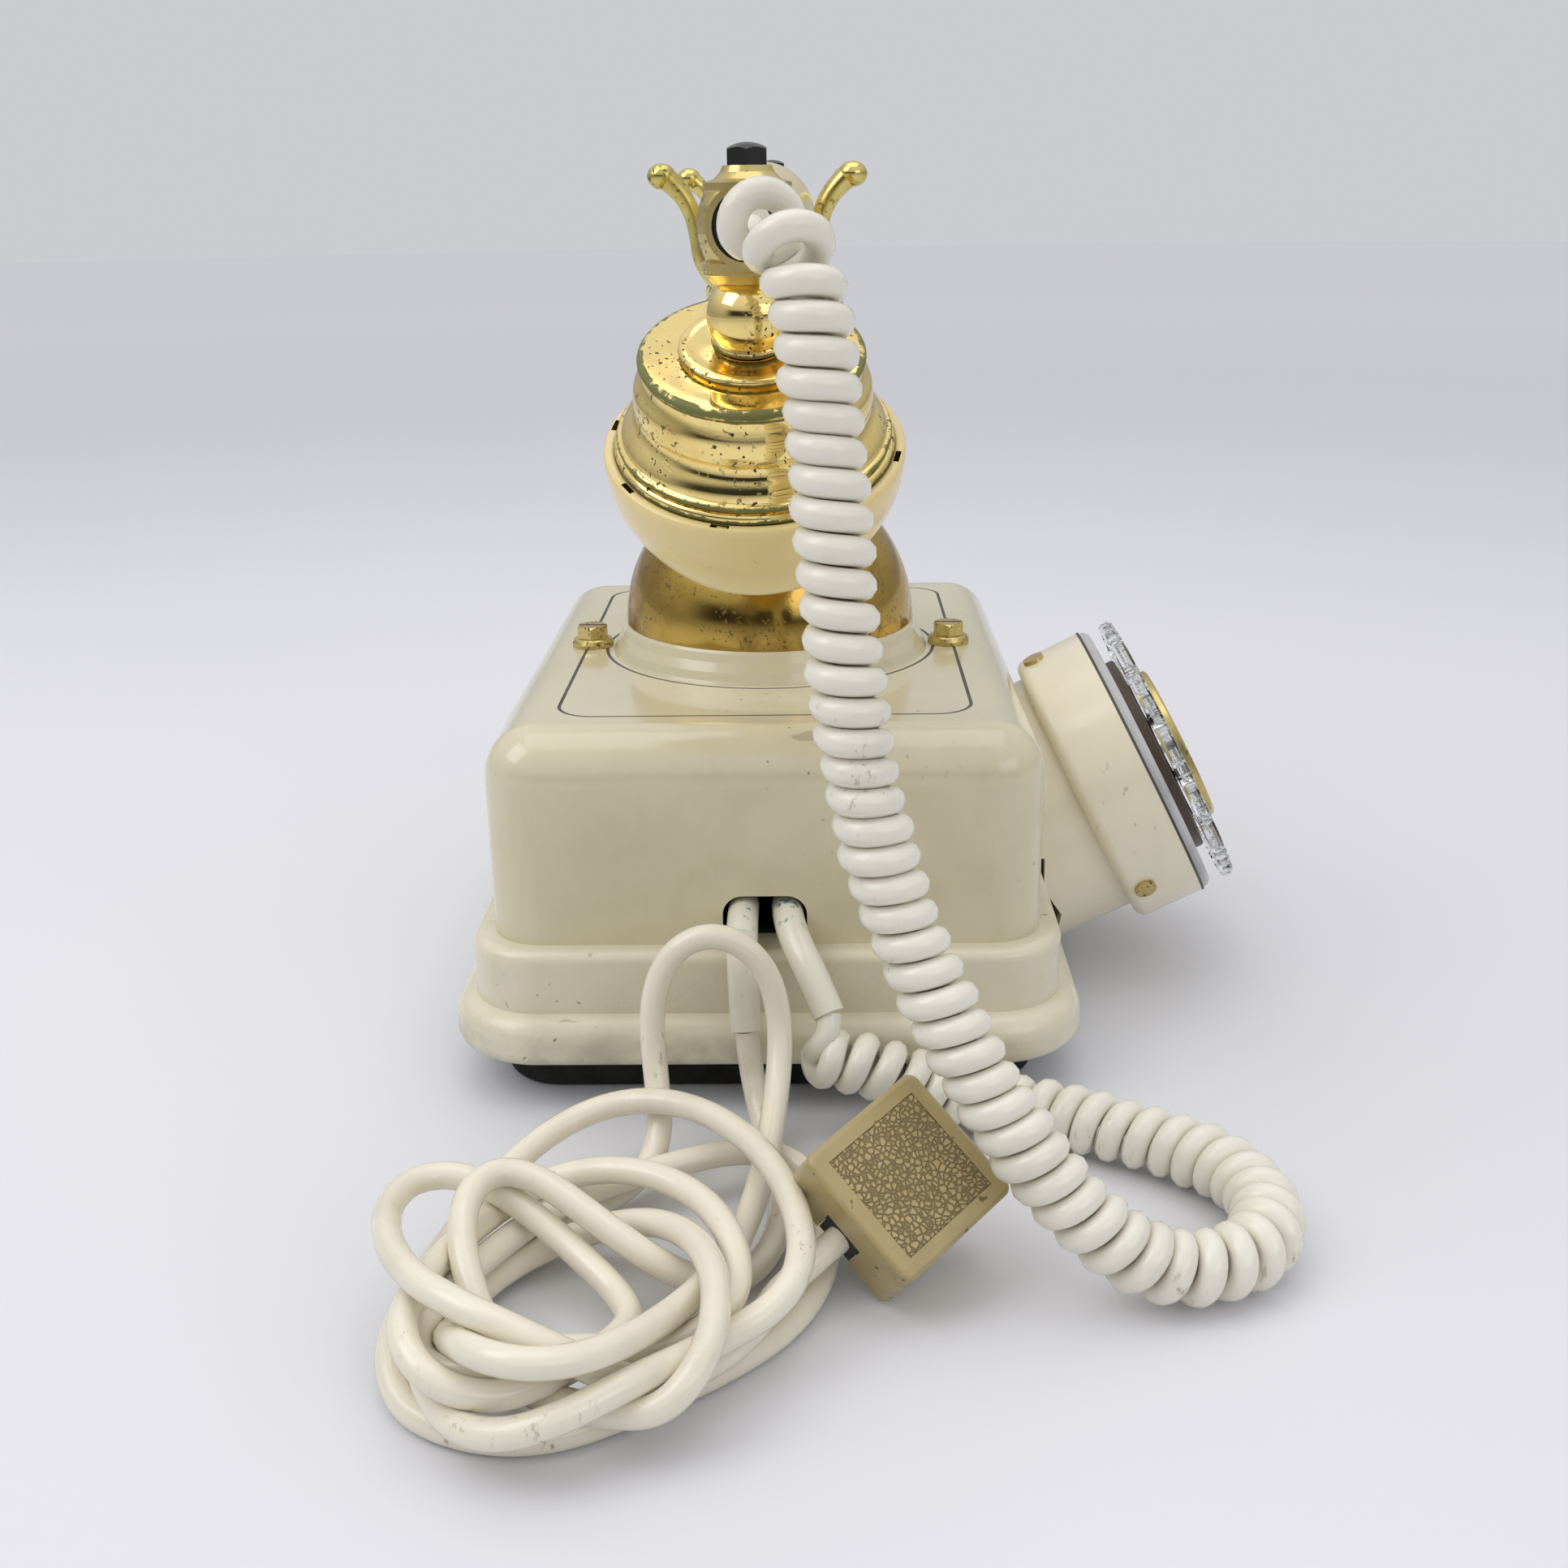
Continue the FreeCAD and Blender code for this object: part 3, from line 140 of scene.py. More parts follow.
def cap_frame(side):
    """The axis that a cap is turned about: from its ball, down and inwards."""
    down = Vector((-side * math.sin(CAP_TILT), 0, -math.cos(CAP_TILT)))
    size = 1.0 if side < 0 else EAR_CAP_SIZE
    turn = Vector((0, 0, 1)).rotation_difference(down).to_matrix().to_4x4()
    return Matrix.Translation((side * FITTING_X, 0, BALL_HEIGHT)) @ turn @ Matrix.Scale(size, 4)


def hole_angle(i):
    return math.radians(FIRST_HOLE + HOLE_PITCH * i)


# ---- camera --------------------------------------------------------------------------------
def add_camera():
    pitch, yaw, roll = (math.radians(a) for a in (19.310, 1.189, -0.823))
    level = math.cos(pitch)
    ahead = Vector((level * math.cos(yaw), level * math.sin(yaw), -math.sin(pitch)))
    right = ahead.cross(Vector((0, 0, 1))).normalized()
    up = right.cross(ahead)
    rolled_right = right * math.cos(roll) + up * math.sin(roll)
    rolled_up = up * math.cos(roll) - right * math.sin(roll)
    data = bpy.data.cameras.new("camera")
    data.lens = 38.95
    data.sensor_width = 36.0
    data.clip_start = 0.01
    camera = bpy.data.objects.new("camera", data)
    bpy.context.collection.objects.link(camera)
    camera.matrix_world = Matrix.Translation((-0.42717, -0.01188, 0.19605)) @ Matrix((
        rolled_right, rolled_up, -ahead)).transposed().to_4x4()
    bpy.context.scene.camera = camera


add_camera()


# ---- modelling helpers ---------------------------------------------------------------------
def start_clean():
    if bpy.context.object and bpy.context.object.mode != "OBJECT":
        bpy.ops.object.mode_set(mode="OBJECT")
    bpy.ops.object.select_all(action="DESELECT")


def named(name):
    piece = bpy.context.object
    piece.name = name
    piece.data.name = name
    return piece


def settle(piece, place=None, angle=40):
    """Put a finished piece's place in its mesh and smooth its faces."""
    start_clean()
    piece.select_set(True)
    bpy.context.view_layer.objects.active = piece
    if place is not None:
        piece.matrix_world = place @ piece.matrix_world
    bpy.ops.object.transform_apply(location=True, rotation=True, scale=True)
    bpy.ops.object.mode_set(mode="EDIT")
    bpy.ops.mesh.select_all(action="SELECT")
    bpy.ops.mesh.remove_doubles(threshold=1e-6)
    bpy.ops.mesh.normals_make_consistent(inside=False)
    bpy.ops.object.mode_set(mode="OBJECT")
    bpy.ops.object.shade_smooth_by_angle(angle=math.radians(angle))
    piece.select_set(False)
    return piece


def bevel(piece, width, segments=3, angle=35):
    mod = piece.modifiers.new("edges", "BEVEL")
    mod.width = width
    mod.segments = segments
    mod.limit_method = "ANGLE"
    mod.angle_limit = math.radians(angle)
    apply_modifiers(piece)


def apply_modifiers(piece):
    start_clean()
    piece.select_set(True)
    bpy.context.view_layer.objects.active = piece
    for mod in list(piece.modifiers):
        bpy.ops.object.modifier_apply(modifier=mod.name)


def softened(profile, rounds=2):
    """Cut an outline's corners so that its beads come out round."""
    points = list(profile)
    for _ in range(rounds):
        cut = [points[0]]
        for (r0, z0), (r1, z1) in zip(points, points[1:]):
            cut.append((0.75 * r0 + 0.25 * r1, 0.75 * z0 + 0.25 * z1))
            cut.append((0.25 * r0 + 0.75 * r1, 0.25 * z0 + 0.75 * z1))
        cut.append(points[-1])
        points = cut
    return points


def turned(name, profile, segments=96, rounds=2):
    """A lathe piece about Z from a (radius, height) outline in millimetres: a ring extruded and scaled."""
    rings = [(max(r, LEAST_RING), z) for r, z in softened(profile, rounds)]
    radius, height = rings[0]
    start_clean()
    bpy.ops.mesh.primitive_circle_add(vertices=segments, radius=radius * MM, location=(0, 0, 0))
    piece = named(name)
    bpy.ops.object.mode_set(mode="EDIT")
    bpy.ops.mesh.select_mode(type="VERT")
    bpy.ops.mesh.select_all(action="SELECT")
    bpy.ops.transform.translate(value=(0, 0, height * MM))
    for r, z in rings[1:]:
        bpy.ops.mesh.extrude_region_move(TRANSFORM_OT_translate={"value": (0, 0, (z - height) * MM)})
        grow = r / radius
        bpy.ops.transform.resize(value=(grow, grow, 1), center_override=(0, 0, z * MM))
        radius, height = r, z
    if rings[0][0] == rings[-1][0] == LEAST_RING:
        bpy.ops.mesh.select_all(action="DESELECT")
        bpy.ops.mesh.select_non_manifold(extend=False)
        bpy.ops.mesh.edge_face_add()
    bpy.ops.object.mode_set(mode="OBJECT")
    return piece


def joined(name, pieces):
    start_clean()
    for piece in pieces:
        piece.select_set(True)
    bpy.context.view_layer.objects.active = pieces[0]
    bpy.ops.object.join()
    return named(name)


def route_curve(name, points, radius=0.0, order=3, resolution=8, around=6):
    """A curve along a NURBS spline."""
    data = bpy.data.curves.new(name, "CURVE")
    data.dimensions = "3D"
    spline = data.splines.new("NURBS")
    spline.points.add(len(points) - 1)
    for point, place in zip(spline.points, points):
        point.co = (*place, 1.0)
    spline.order_u = order
    spline.use_endpoint_u = True
    spline.resolution_u = resolution
    data.resolution_u = resolution
    data.bevel_depth = radius
    data.bevel_resolution = around
    data.use_fill_caps = True
    curve = bpy.data.objects.new(name, data)
    bpy.context.collection.objects.link(curve)
    return curve


def line_points(points, resolution=10):
    """The points of a route's smooth line."""
    guide = route_curve("guide", points, resolution=resolution)
    bpy.context.view_layer.update()
    mesh = bpy.data.meshes.new_from_object(guide)
    line = [v.co.copy() for v in mesh.vertices]
    bpy.data.objects.remove(guide)
    bpy.data.meshes.remove(mesh)
    return line


def made_mesh(curve):
    start_clean()
    curve.select_set(True)
    bpy.context.view_layer.objects.active = curve
    bpy.ops.object.convert(target="MESH")
    return bpy.context.object


# ---- cords ---------------------------------------------------------------------------------
TRAVEL_STEP = 0.00025       # how far apart places along the route are tried
POINT_GAP = 0.0014          # the least distance between two points of the helix
COIL_PITCH = 0.0056
TOP_PITCH = 0.0080          # the looser turns next to the handset
TOP_LENGTH = 0.026
LOW_PITCH = 0.0059          # the turns that lie on the floor
LOW_START = 0.22


def coil_turns():
    """The curly cord's own line: a left-hand helix round its route, opening out at both ends."""
    line = line_points(HANDSET_CORD_ROUTE, 24)
    lengths = [0.0]
    for a, b in zip(line, line[1:]):
        lengths.append(lengths[-1] + (b - a).length)
    whole = lengths[-1]
    across = Vector((0, 0, 1))
    points = [line[0]]
    angle = math.radians(200)
    at = 0
    travelled = 0.0
    while travelled < whole:
        while at < len(lengths) - 2 and lengths[at + 1] < travelled:
            at += 1
        share = (travelled - lengths[at]) / max(1e-9, lengths[at + 1] - lengths[at])
        centre = line[at].lerp(line[at + 1], min(1.0, share))
        heading = (line[min(at + 2, len(line) - 1)] - line[max(at - 1, 0)]).normalized()
        across = (across - heading * across.dot(heading)).normalized()
        other = heading.cross(across)
        left = whole - travelled
        opening = eased((travelled - 0.003) / 0.008) * eased((left - 0.009) / 0.007)
        uneven = 0.035 * math.sin(travelled * 210) + 0.02 * math.sin(travelled * 610 + 1.0)
        pitch = COIL_PITCH * (1 + 0.03 * math.sin(travelled * 95))
        if travelled < TOP_LENGTH:
            uneven += 0.10
            pitch = TOP_PITCH
        if travelled > LOW_START:
            pitch = LOW_PITCH
        reach = (COIL_RADIUS - CABLE_RADIUS) * opening * (1 + uneven)
        angle -= 2 * math.pi * TRAVEL_STEP / pitch
        point = centre + (across * math.cos(angle) + other * math.sin(angle)) * reach
        if (point - points[-1]).length > POINT_GAP and travelled > 0.0025:
            points.append(point)
        travelled += TRAVEL_STEP
    if (points[-1] - line[-1]).length < 0.001:
        points.pop()
    points.append(line[-1])
    ease_ends(points)
    return points


def ease_ends(points, rounds=8, first=12, final=20):
    """Ease the bends where a helix runs out into its straight ends, most of all at the ends."""
    last = len(points) - 1
    for _ in range(rounds):
        for i in list(range(2, 3 + first)) + list(range(last - final, last)):
            near = 1 - (i - 2) / first if i < 3 + first else (i - last + final + 1) / final
            points[i] = points[i].lerp((points[i - 1] + points[i + 1]) / 2, 0.5 * max(0.0, near))


def eased(share):
    """A ramp from 0 to 1 with soft ends."""
    share = min(1.0, max(0.0, share))
    return share * share * (3 - 2 * share)


def add_curly_cord():
    turns = coil_turns()
    curve = route_curve("curly_cord", turns, CABLE_RADIUS, resolution=2, around=3)
    path = line_points(turns, 2)
    cord = made_mesh(curve)
    bpy.ops.object.shade_smooth()
    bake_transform(cord)
    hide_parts("handset_cord")
    return cord


def add_line_cord():
    cord = made_mesh(route_curve("line_cord", LINE_CORD_ROUTE, CABLE_RADIUS, resolution=6, around=4))
    bpy.ops.object.shade_smooth()
    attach(cord, "base")
    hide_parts("line_cord_lead", "line_cord_loop", "line_cord_coil", "line_cord_tail")
    line_points(LINE_CORD_ROUTE, 6)
    return cord


def add_sleeve(name, route, stands_for):
    """A vinyl sleeve with its cut end turned in round the cable."""
    tube = made_mesh(route_curve(name, route, SLEEVE_RADIUS, resolution=10, around=6))
    end = Vector(route[-1])
    heading = (end - Vector(route[-2])).normalized()
    bpy.ops.object.mode_set(mode="EDIT")
    bpy.ops.mesh.select_all(action="DESELECT")
    bpy.ops.object.mode_set(mode="OBJECT")
    for face in tube.data.polygons:
        at_end = (Vector(face.center) - end).length < 0.6 * MM
        face.select = at_end and abs(face.normal.dot(heading)) > 0.9
    bpy.ops.object.mode_set(mode="EDIT")
    bpy.ops.mesh.select_mode(type="FACE")
    bpy.ops.mesh.inset(thickness=0.0007, depth=0)
    bpy.ops.mesh.inset(thickness=0.00005, depth=-0.0012)
    bpy.ops.mesh.select_mode(type="VERT")
    bpy.ops.object.mode_set(mode="OBJECT")
    settle(tube, angle=50)
    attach(tube, "base")
    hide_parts(stands_for)
    return tube


# ---- materials -----------------------------------------------------------------------------
COLOUR = "NodeSocketColor"
NUMBER = "NodeSocketFloat"


def new_group(name, inputs, outputs):
    """A node group, with its inner input and output sockets and the place on the piece."""
    group = bpy.data.node_groups.new(name, "ShaderNodeTree")
    for label, kind, value in inputs:
        socket = group.interface.new_socket(name=label, in_out="INPUT", socket_type=kind)
        socket.default_value = value
    for label, kind in outputs:
        group.interface.new_socket(name=label, in_out="OUTPUT", socket_type=kind)
    entry = group.nodes.new("NodeGroupInput")
    leave = group.nodes.new("NodeGroupOutput")
    return group, entry.outputs, leave.inputs, object_place(group)


def node(tree, kind, **values):
    made = tree.nodes.new(kind)
    for key, value in values.items():
        setattr(made, key, value)
    return made


def noise(tree, vector, scale, detail=4.0, rough=0.55, stretch=None):
    if stretch is not None:
        mapping = node(tree, "ShaderNodeMapping")
        mapping.inputs["Scale"].default_value = stretch
        tree.links.new(vector, mapping.inputs["Vector"])
        vector = mapping.outputs["Vector"]
    made = node(tree, "ShaderNodeTexNoise")
    made.inputs["Scale"].default_value = scale
    made.inputs["Detail"].default_value = detail
    made.inputs["Roughness"].default_value = rough
    tree.links.new(vector, made.inputs["Vector"])
    return made.outputs["Fac"]


def ramp(tree, value, low, high, first=0.0, last=1.0):
    made = node(tree, "ShaderNodeMapRange", interpolation_type="SMOOTHSTEP")
    made.inputs["From Min"].default_value = low
    made.inputs["From Max"].default_value = high
    made.inputs["To Min"].default_value = first
    made.inputs["To Max"].default_value = last
    tree.links.new(value, made.inputs["Value"])
    return made.outputs["Result"]


def combine(tree, kind, a, b):
    made = node(tree, "ShaderNodeMath", operation=kind)
    for socket, value in zip(made.inputs, (a, b)):
        if isinstance(value, (int, float)):
            socket.default_value = value
        else:
            tree.links.new(value, socket)
    return made.outputs[0]


def mixed(tree, factor, a, b):
    """A blend of two colours, each a socket or a constant."""
    made = node(tree, "ShaderNodeMix", data_type="RGBA")
    colours = [socket for socket in made.inputs if socket.type == "RGBA"]
    for socket, value in zip([made.inputs["Factor"]] + colours, (factor, a, b)):
        if isinstance(value, tuple):
            socket.default_value = value if len(value) == 4 else (*value, 1)
        else:
            tree.links.new(value, socket)
    return [socket for socket in made.outputs if socket.type == "RGBA"][0]


def times(tree, a, b):
    return combine(tree, "MULTIPLY", a, b)


def plus(tree, a, b):
    return combine(tree, "ADD", a, b)


def object_place(tree):
    return node(tree, "ShaderNodeTexCoord").outputs["Object"]


def height_of(tree, place):
    parts = node(tree, "ShaderNodeSeparateXYZ")
    tree.links.new(place, parts.inputs[0])
    return parts.outputs["Z"]


def patches(tree, place, grain, low, high, stretch=None):
    """A soft-edged mask out of noise, whose grain is its scale, detail and roughness."""
    return ramp(tree, noise(tree, place, *grain, stretch=stretch), low, high)


def handling_group():
    """Wear of moulded plastic: soft grey smudges, dark specks, scuffs and a fine ripple."""
    group, entry, leave, place = new_group("handling", [
        ("Clean", COLOUR, (0.8, 0.8, 0.8, 1)), ("Dirt", COLOUR, (0.2, 0.2, 0.15, 1)),
        ("Smudge", NUMBER, 0.3), ("Specks", NUMBER, 0.5), ("Low Height", NUMBER, -1.0),
        ("High Height", NUMBER, -0.9)], [("Color", COLOUR), ("Roughness", NUMBER), ("Height", NUMBER)])
    clouds = patches(group, place, (22, 5, 0.6), 0.42, 0.75)
    wisps = patches(group, place, (60, 6, 0.7), 0.52, 0.8, (1, 1, 0.35))
    smudge = plus(group, times(group, clouds, 0.55), times(group, wisps, 0.45))
    smudge = times(group, smudge, entry["Smudge"])
    dots = patches(group, place, (420, 1, 0.4), 0.725, 0.76)
    streaks = patches(group, place, (170, 2, 0.5), 0.70, 0.75, (1, 0.35, 1))
    gathered = patches(group, place, (15, 2, 0.5), 0.45, 0.58)
    marks = times(group, combine(group, "MAXIMUM", dots, times(group, streaks, 0.6)), entry["Specks"])
    marks = times(group, marks, gathered)
    # Darker towards the bottom: below High Height the colour goes towards Dirt, fully below Low Height, in
    # noisy patches.
    low = node(group, "ShaderNodeMapRange", interpolation_type="SMOOTHSTEP")
    group.links.new(height_of(group, place), low.inputs["Value"])
    group.links.new(entry["High Height"], low.inputs["From Min"])
    group.links.new(entry["Low Height"], low.inputs["From Max"])
    low_darkening = times(group, low.outputs["Result"], patches(group, place, (48, 6, 0.7), 0.4, 0.72))
    total = plus(group, plus(group, smudge, marks), times(group, low_darkening, 0.5))
    total = combine(group, "MINIMUM", total, 1.0)
    group.links.new(mixed(group, total, entry["Clean"], entry["Dirt"]), leave["Color"])
    group.links.new(ramp(group, total, 0.0, 0.6, 0.0, 0.3), leave["Roughness"])
    group.links.new(noise(group, place, 140, 3, 0.5), leave["Height"])
    return group


def brass_group():
    """Old lacquered brass: brown tarnish in clouds, green verdigris along edges, and dark pits."""
    group, entry, leave, place = new_group("old_brass", [
        ("Bright", COLOUR, (0.8, 0.55, 0.18, 1)), ("Brown", COLOUR, (0.35, 0.2, 0.05, 1)),
        ("Green", COLOUR, (0.12, 0.14, 0.04, 1)), ("Tarnish", NUMBER, 0.4), ("Pits", NUMBER, 0.6),
        ("Edge", NUMBER, 0.0)],
        [("Color", COLOUR), ("Metallic", NUMBER), ("Roughness", NUMBER), ("Height", NUMBER)])
    tarnish = times(group, patches(group, place, (45, 6, 0.65), 0.40, 0.72), entry["Tarnish"])
    dots = patches(group, place, (900, 2, 0.5), 0.61, 0.65)
    where = patches(group, place, (75, 4, 0.6), 0.44, 0.56)
    pits = times(group, times(group, dots, where), entry["Pits"])
    ripple = combine(group, "SUBTRACT", noise(group, place, 260, 6, 0.75), 0.5)
    ragged = plus(group, entry["Edge"], times(group, ripple, 1.7))
    green = times(group, ramp(group, ragged, 0.48, 0.66), ramp(group, entry["Edge"], 0.02, 0.25))
    colour = mixed(group, tarnish, entry["Bright"], entry["Brown"])
    colour = mixed(group, pits, colour, (0.05, 0.035, 0.015, 1))
    colour = mixed(group, green, colour, entry["Green"])
    dull = combine(group, "MAXIMUM", green, times(group, pits, 0.8))
    rough = plus(group, ramp(group, tarnish, 0.0, 1.0, 0.0, 0.30), times(group, dull, 0.5))
    group.links.new(colour, leave["Color"])
    group.links.new(ramp(group, dull, 0.0, 1.0, 1.0, 0.15), leave["Metallic"])
    group.links.new(rough, leave["Roughness"])
    group.links.new(combine(group, "SUBTRACT", times(group, green, 0.6), pits), leave["Height"])
    return group


def cable_group():
    """Scuffed vinyl: long faint stains and short dark rub marks."""
    group, entry, leave, place = new_group("cable_wear", [
        ("Clean", COLOUR, (0.8, 0.8, 0.8, 1)), ("Dirt", COLOUR, (0.15, 0.1, 0.06, 1)),
        ("Amount", NUMBER, 0.5)], [("Color", COLOUR), ("Roughness", NUMBER), ("Height", NUMBER)])
    stain = patches(group, place, (38, 5, 0.6), 0.45, 0.8)
    rubs = patches(group, place, (520, 4, 0.7), 0.58, 0.68, (1, 1, 0.4))
    where = patches(group, place, (34, 3, 0.5), 0.51, 0.62)
    marks = times(group, times(group, rubs, where), 0.8)
    total = times(group, plus(group, times(group, stain, 0.28), marks), entry["Amount"])
    group.links.new(mixed(group, total, entry["Clean"], entry["Dirt"]), leave["Color"])
    group.links.new(ramp(group, total, 0.0, 0.6, 0.0, 0.3), leave["Roughness"])
    group.links.new(noise(group, place, 260, 3, 0.5), leave["Height"])
    return group


HANDLING = handling_group()
OLD_BRASS = brass_group()
CABLE_WEAR = cable_group()


def blank(name, roughness=0.3, coat=0.0, metallic=0.0):
    made = bpy.data.materials.new(name)
    made.use_nodes = True
    shader = made.node_tree.nodes["Principled BSDF"]
    shader.inputs["Roughness"].default_value = roughness
    shader.inputs["Metallic"].default_value = metallic
    shader.inputs["Coat Weight"].default_value = coat
    shader.inputs["Coat Roughness"].default_value = 0.06
    return made, made.node_tree, shader


def add_bump(tree, shader, height, strength, distance=0.0002):
    bump = node(tree, "ShaderNodeBump")
    bump.inputs["Strength"].default_value = strength
    bump.inputs["Distance"].default_value = distance
    tree.links.new(height, bump.inputs["Height"])
    tree.links.new(bump.outputs["Normal"], shader.inputs["Normal"])


def worn(name, group, values, roughness, coat=0.0, metallic=0.0):
    """A material whose colour and added roughness come from a wear group."""
    made, tree, shader = blank(name, roughness, coat, metallic)
    wear = node(tree, "ShaderNodeGroup", node_tree=group)
    for label, value in values.items():
        wear.inputs[label].default_value = (*value, 1) if isinstance(value, tuple) else value
    tree.links.new(wear.outputs["Color"], shader.inputs["Base Color"])
    tree.links.new(plus(tree, wear.outputs["Roughness"], roughness), shader.inputs["Roughness"])
    return made, tree, shader, wear


def moulded(name, clean, dirt, roughness, smudge, specks, low=None, coat=0.3):
    """Moulded plastic that has been handled for years."""
    values = {"Clean": clean, "Dirt": dirt, "Smudge": smudge, "Specks": specks}
    if low:
        values["Low Height"], values["High Height"] = low
    made, tree, shader, wear = worn(name, HANDLING, values, roughness, coat)
    add_bump(tree, shader, wear.outputs["Height"], 0.05)
    return made


def brassy(name, bright, brown, green=(0.13, 0.15, 0.05), tarnish=0.4, pits=0.6, edge=0.0, roughness=0.12,
           bump=0.25):
    """Old brass, green where edge is high: one value, or the piece's own attribute when it is None."""
    values = {"Bright": bright, "Brown": brown, "Green": green, "Tarnish": tarnish, "Pits": pits}
    if edge is not None:
        values["Edge"] = edge
    made, tree, shader, wear = worn(name, OLD_BRASS, values, roughness, metallic=1.0)
    if edge is None:
        flag = node(tree, "ShaderNodeAttribute", attribute_name="edge")
        tree.links.new(flag.outputs["Fac"], wear.inputs["Edge"])
    tree.links.new(wear.outputs["Metallic"], shader.inputs["Metallic"])
    add_bump(tree, shader, wear.outputs["Height"], bump, 0.0001)
    return made


def vinyl(name, clean, dirt, amount, stain_above=None):
    """Cord vinyl; above stain_above it carries the blue-green stain of old copper."""
    values = {"Clean": clean, "Dirt": dirt, "Amount": amount}
    made, tree, shader, wear = worn(name, CABLE_WEAR, values, 0.22, 0.25)
    if stain_above:
        place = object_place(tree)
        top = ramp(tree, height_of(tree, place), stain_above, stain_above + 0.004)
        stain = times(tree, top, patches(tree, place, (330, 4, 0.6), 0.54, 0.66))
        stained = mixed(tree, stain, wear.outputs["Color"], (0.05, 0.20, 0.165))
        tree.links.new(stained, shader.inputs["Base Color"])
    add_bump(tree, shader, wear.outputs["Height"], 0.05)
    return made


def plain(name, colour, roughness, metallic=0.0, scale=300, bump=0.15, spread=0.25, stretch=None):
    """A finish with a fine grain and slight changes of tone."""
    made, tree, shader = blank(name, roughness, 0.0, metallic)
    place = object_place(tree)
    tone = noise(tree, place, scale / 6, 4)
    dark = tuple(c * (1 - spread) for c in colour)
    tree.links.new(mixed(tree, ramp(tree, tone, 0.35, 0.7), colour, dark), shader.inputs["Base Color"])
    rough = ramp(tree, tone, 0.3, 0.7, roughness, min(1.0, roughness + 0.15))
    tree.links.new(rough, shader.inputs["Roughness"])
    add_bump(tree, shader, noise(tree, place, scale, 3, 0.6, stretch), bump)
    return made


def grained_khaki():
    """The plug's leather-grained face."""
    made, tree, shader = blank("plug_grain", 0.45, 0.05)
    place = object_place(tree)
    warp = node(tree, "ShaderNodeTexNoise")
    warp.inputs["Scale"].default_value = 700
    tree.links.new(place, warp.inputs["Vector"])
    shift = node(tree, "ShaderNodeVectorMath", operation="MULTIPLY_ADD")
    tree.links.new(warp.outputs["Color"], shift.inputs[0])
    shift.inputs[1].default_value = (0.0009, 0.0009, 0.0009)
    tree.links.new(place, shift.inputs[2])
    cells = node(tree, "ShaderNodeTexVoronoi", feature="DISTANCE_TO_EDGE")
    cells.inputs["Scale"].default_value = 900
    tree.links.new(shift.outputs[0], cells.inputs["Vector"])
    # Painted shade: the grooves between the grain's pebbles are coloured dark, as the shade in them; the
    # same mask gives the pebbles' height to the bump.
    pebble_height_and_groove_shade = ramp(tree, cells.outputs["Distance"], 0.0, 0.22)
    tone = ramp(tree, noise(tree, place, 90, 4), 0.35, 0.7)
    base = mixed(tree, tone, (0.50, 0.39, 0.175), (0.41, 0.31, 0.13))
    tree.links.new(mixed(tree, pebble_height_and_groove_shade, (0.20, 0.15, 0.06), base), shader.inputs["Base Color"])
    add_bump(tree, shader, pebble_height_and_groove_shade, 0.9, 0.0003)
    return made


def acrylic():
    made, tree, shader = blank("clear_wheel", 0.03, 0.0)
    shader.inputs["Transmission Weight"].default_value = 1.0
    shader.inputs["IOR"].default_value = 1.32
    place = object_place(tree)
    haze = ramp(tree, noise(tree, place, 120, 5), 0.4, 0.8, 0.02, 0.12)
    tree.links.new(haze, shader.inputs["Roughness"])
    colour = mixed(tree, patches(tree, place, (60, 3), 0.3, 0.7), (0.97, 0.98, 0.98), (0.92, 0.93, 0.92))
    tree.links.new(colour, shader.inputs["Base Color"])
    return made


IVORY = moulded("ivory_body", (0.675, 0.62, 0.43), (0.33, 0.28, 0.17), 0.17, 0.34, 1.0, coat=0.5)
IVORY_LOW = moulded("ivory_plinth", (0.74, 0.69, 0.52), (0.25, 0.215, 0.14), 0.26, 0.42, 1.0,
                    low=(0.012, 0.024), coat=0.3)
AGED = moulded("aged_ivory", (0.83, 0.66, 0.29), (0.45, 0.31, 0.12), 0.22, 0.25, 0.7, coat=0.35)
DRUM = moulded("dial_ivory", (0.86, 0.80, 0.62), (0.38, 0.32, 0.22), 0.24, 0.22, 0.7, coat=0.3)
KHAKI = moulded("khaki_frame", (0.44, 0.35, 0.16), (0.10, 0.075, 0.035), 0.30, 0.35, 0.8,
                low=(0.010, 0.022), coat=0.2)
GRAIN = grained_khaki()
BRASS = brassy("polished_brass", (0.92, 0.73, 0.28), (0.52, 0.38, 0.10), tarnish=0.45, pits=0.9, edge=0.10,
               roughness=0.10)
BELL_BRASS = brassy("bell_brass", (0.97, 0.77, 0.31), (0.66, 0.45, 0.12), (0.17, 0.17, 0.045), tarnish=0.55,
                    pits=1.0, edge=None, roughness=0.06)
FORK_BRASS = brassy("fork_brass", (0.70, 0.58, 0.20), (0.42, 0.34, 0.09), (0.22, 0.25, 0.07), tarnish=0.8,
                    pits=0.8, edge=0.34, roughness=0.16)
DOME_BRASS = brassy("dome_brass", (0.52, 0.345, 0.08), (0.24, 0.14, 0.03), tarnish=0.85, pits=0.7, edge=0.0,
                    roughness=0.13, bump=0.12)
WORN_BRASS = brassy("worn_brass", (0.62, 0.50, 0.20), (0.34, 0.25, 0.09), (0.20, 0.21, 0.09), tarnish=0.8,
                    pits=0.9, edge=0.26, roughness=0.25)
VINYL = vinyl("cord_vinyl", (0.83, 0.795, 0.685), (0.22, 0.16, 0.10), 0.75)
LINE_VINYL = vinyl("line_cord_vinyl", (0.83, 0.775, 0.635), (0.22, 0.16, 0.10), 0.8)
SLEEVE = vinyl("sleeve_vinyl", (0.80, 0.76, 0.64), (0.30, 0.24, 0.15), 0.6, stain_above=0.0425)
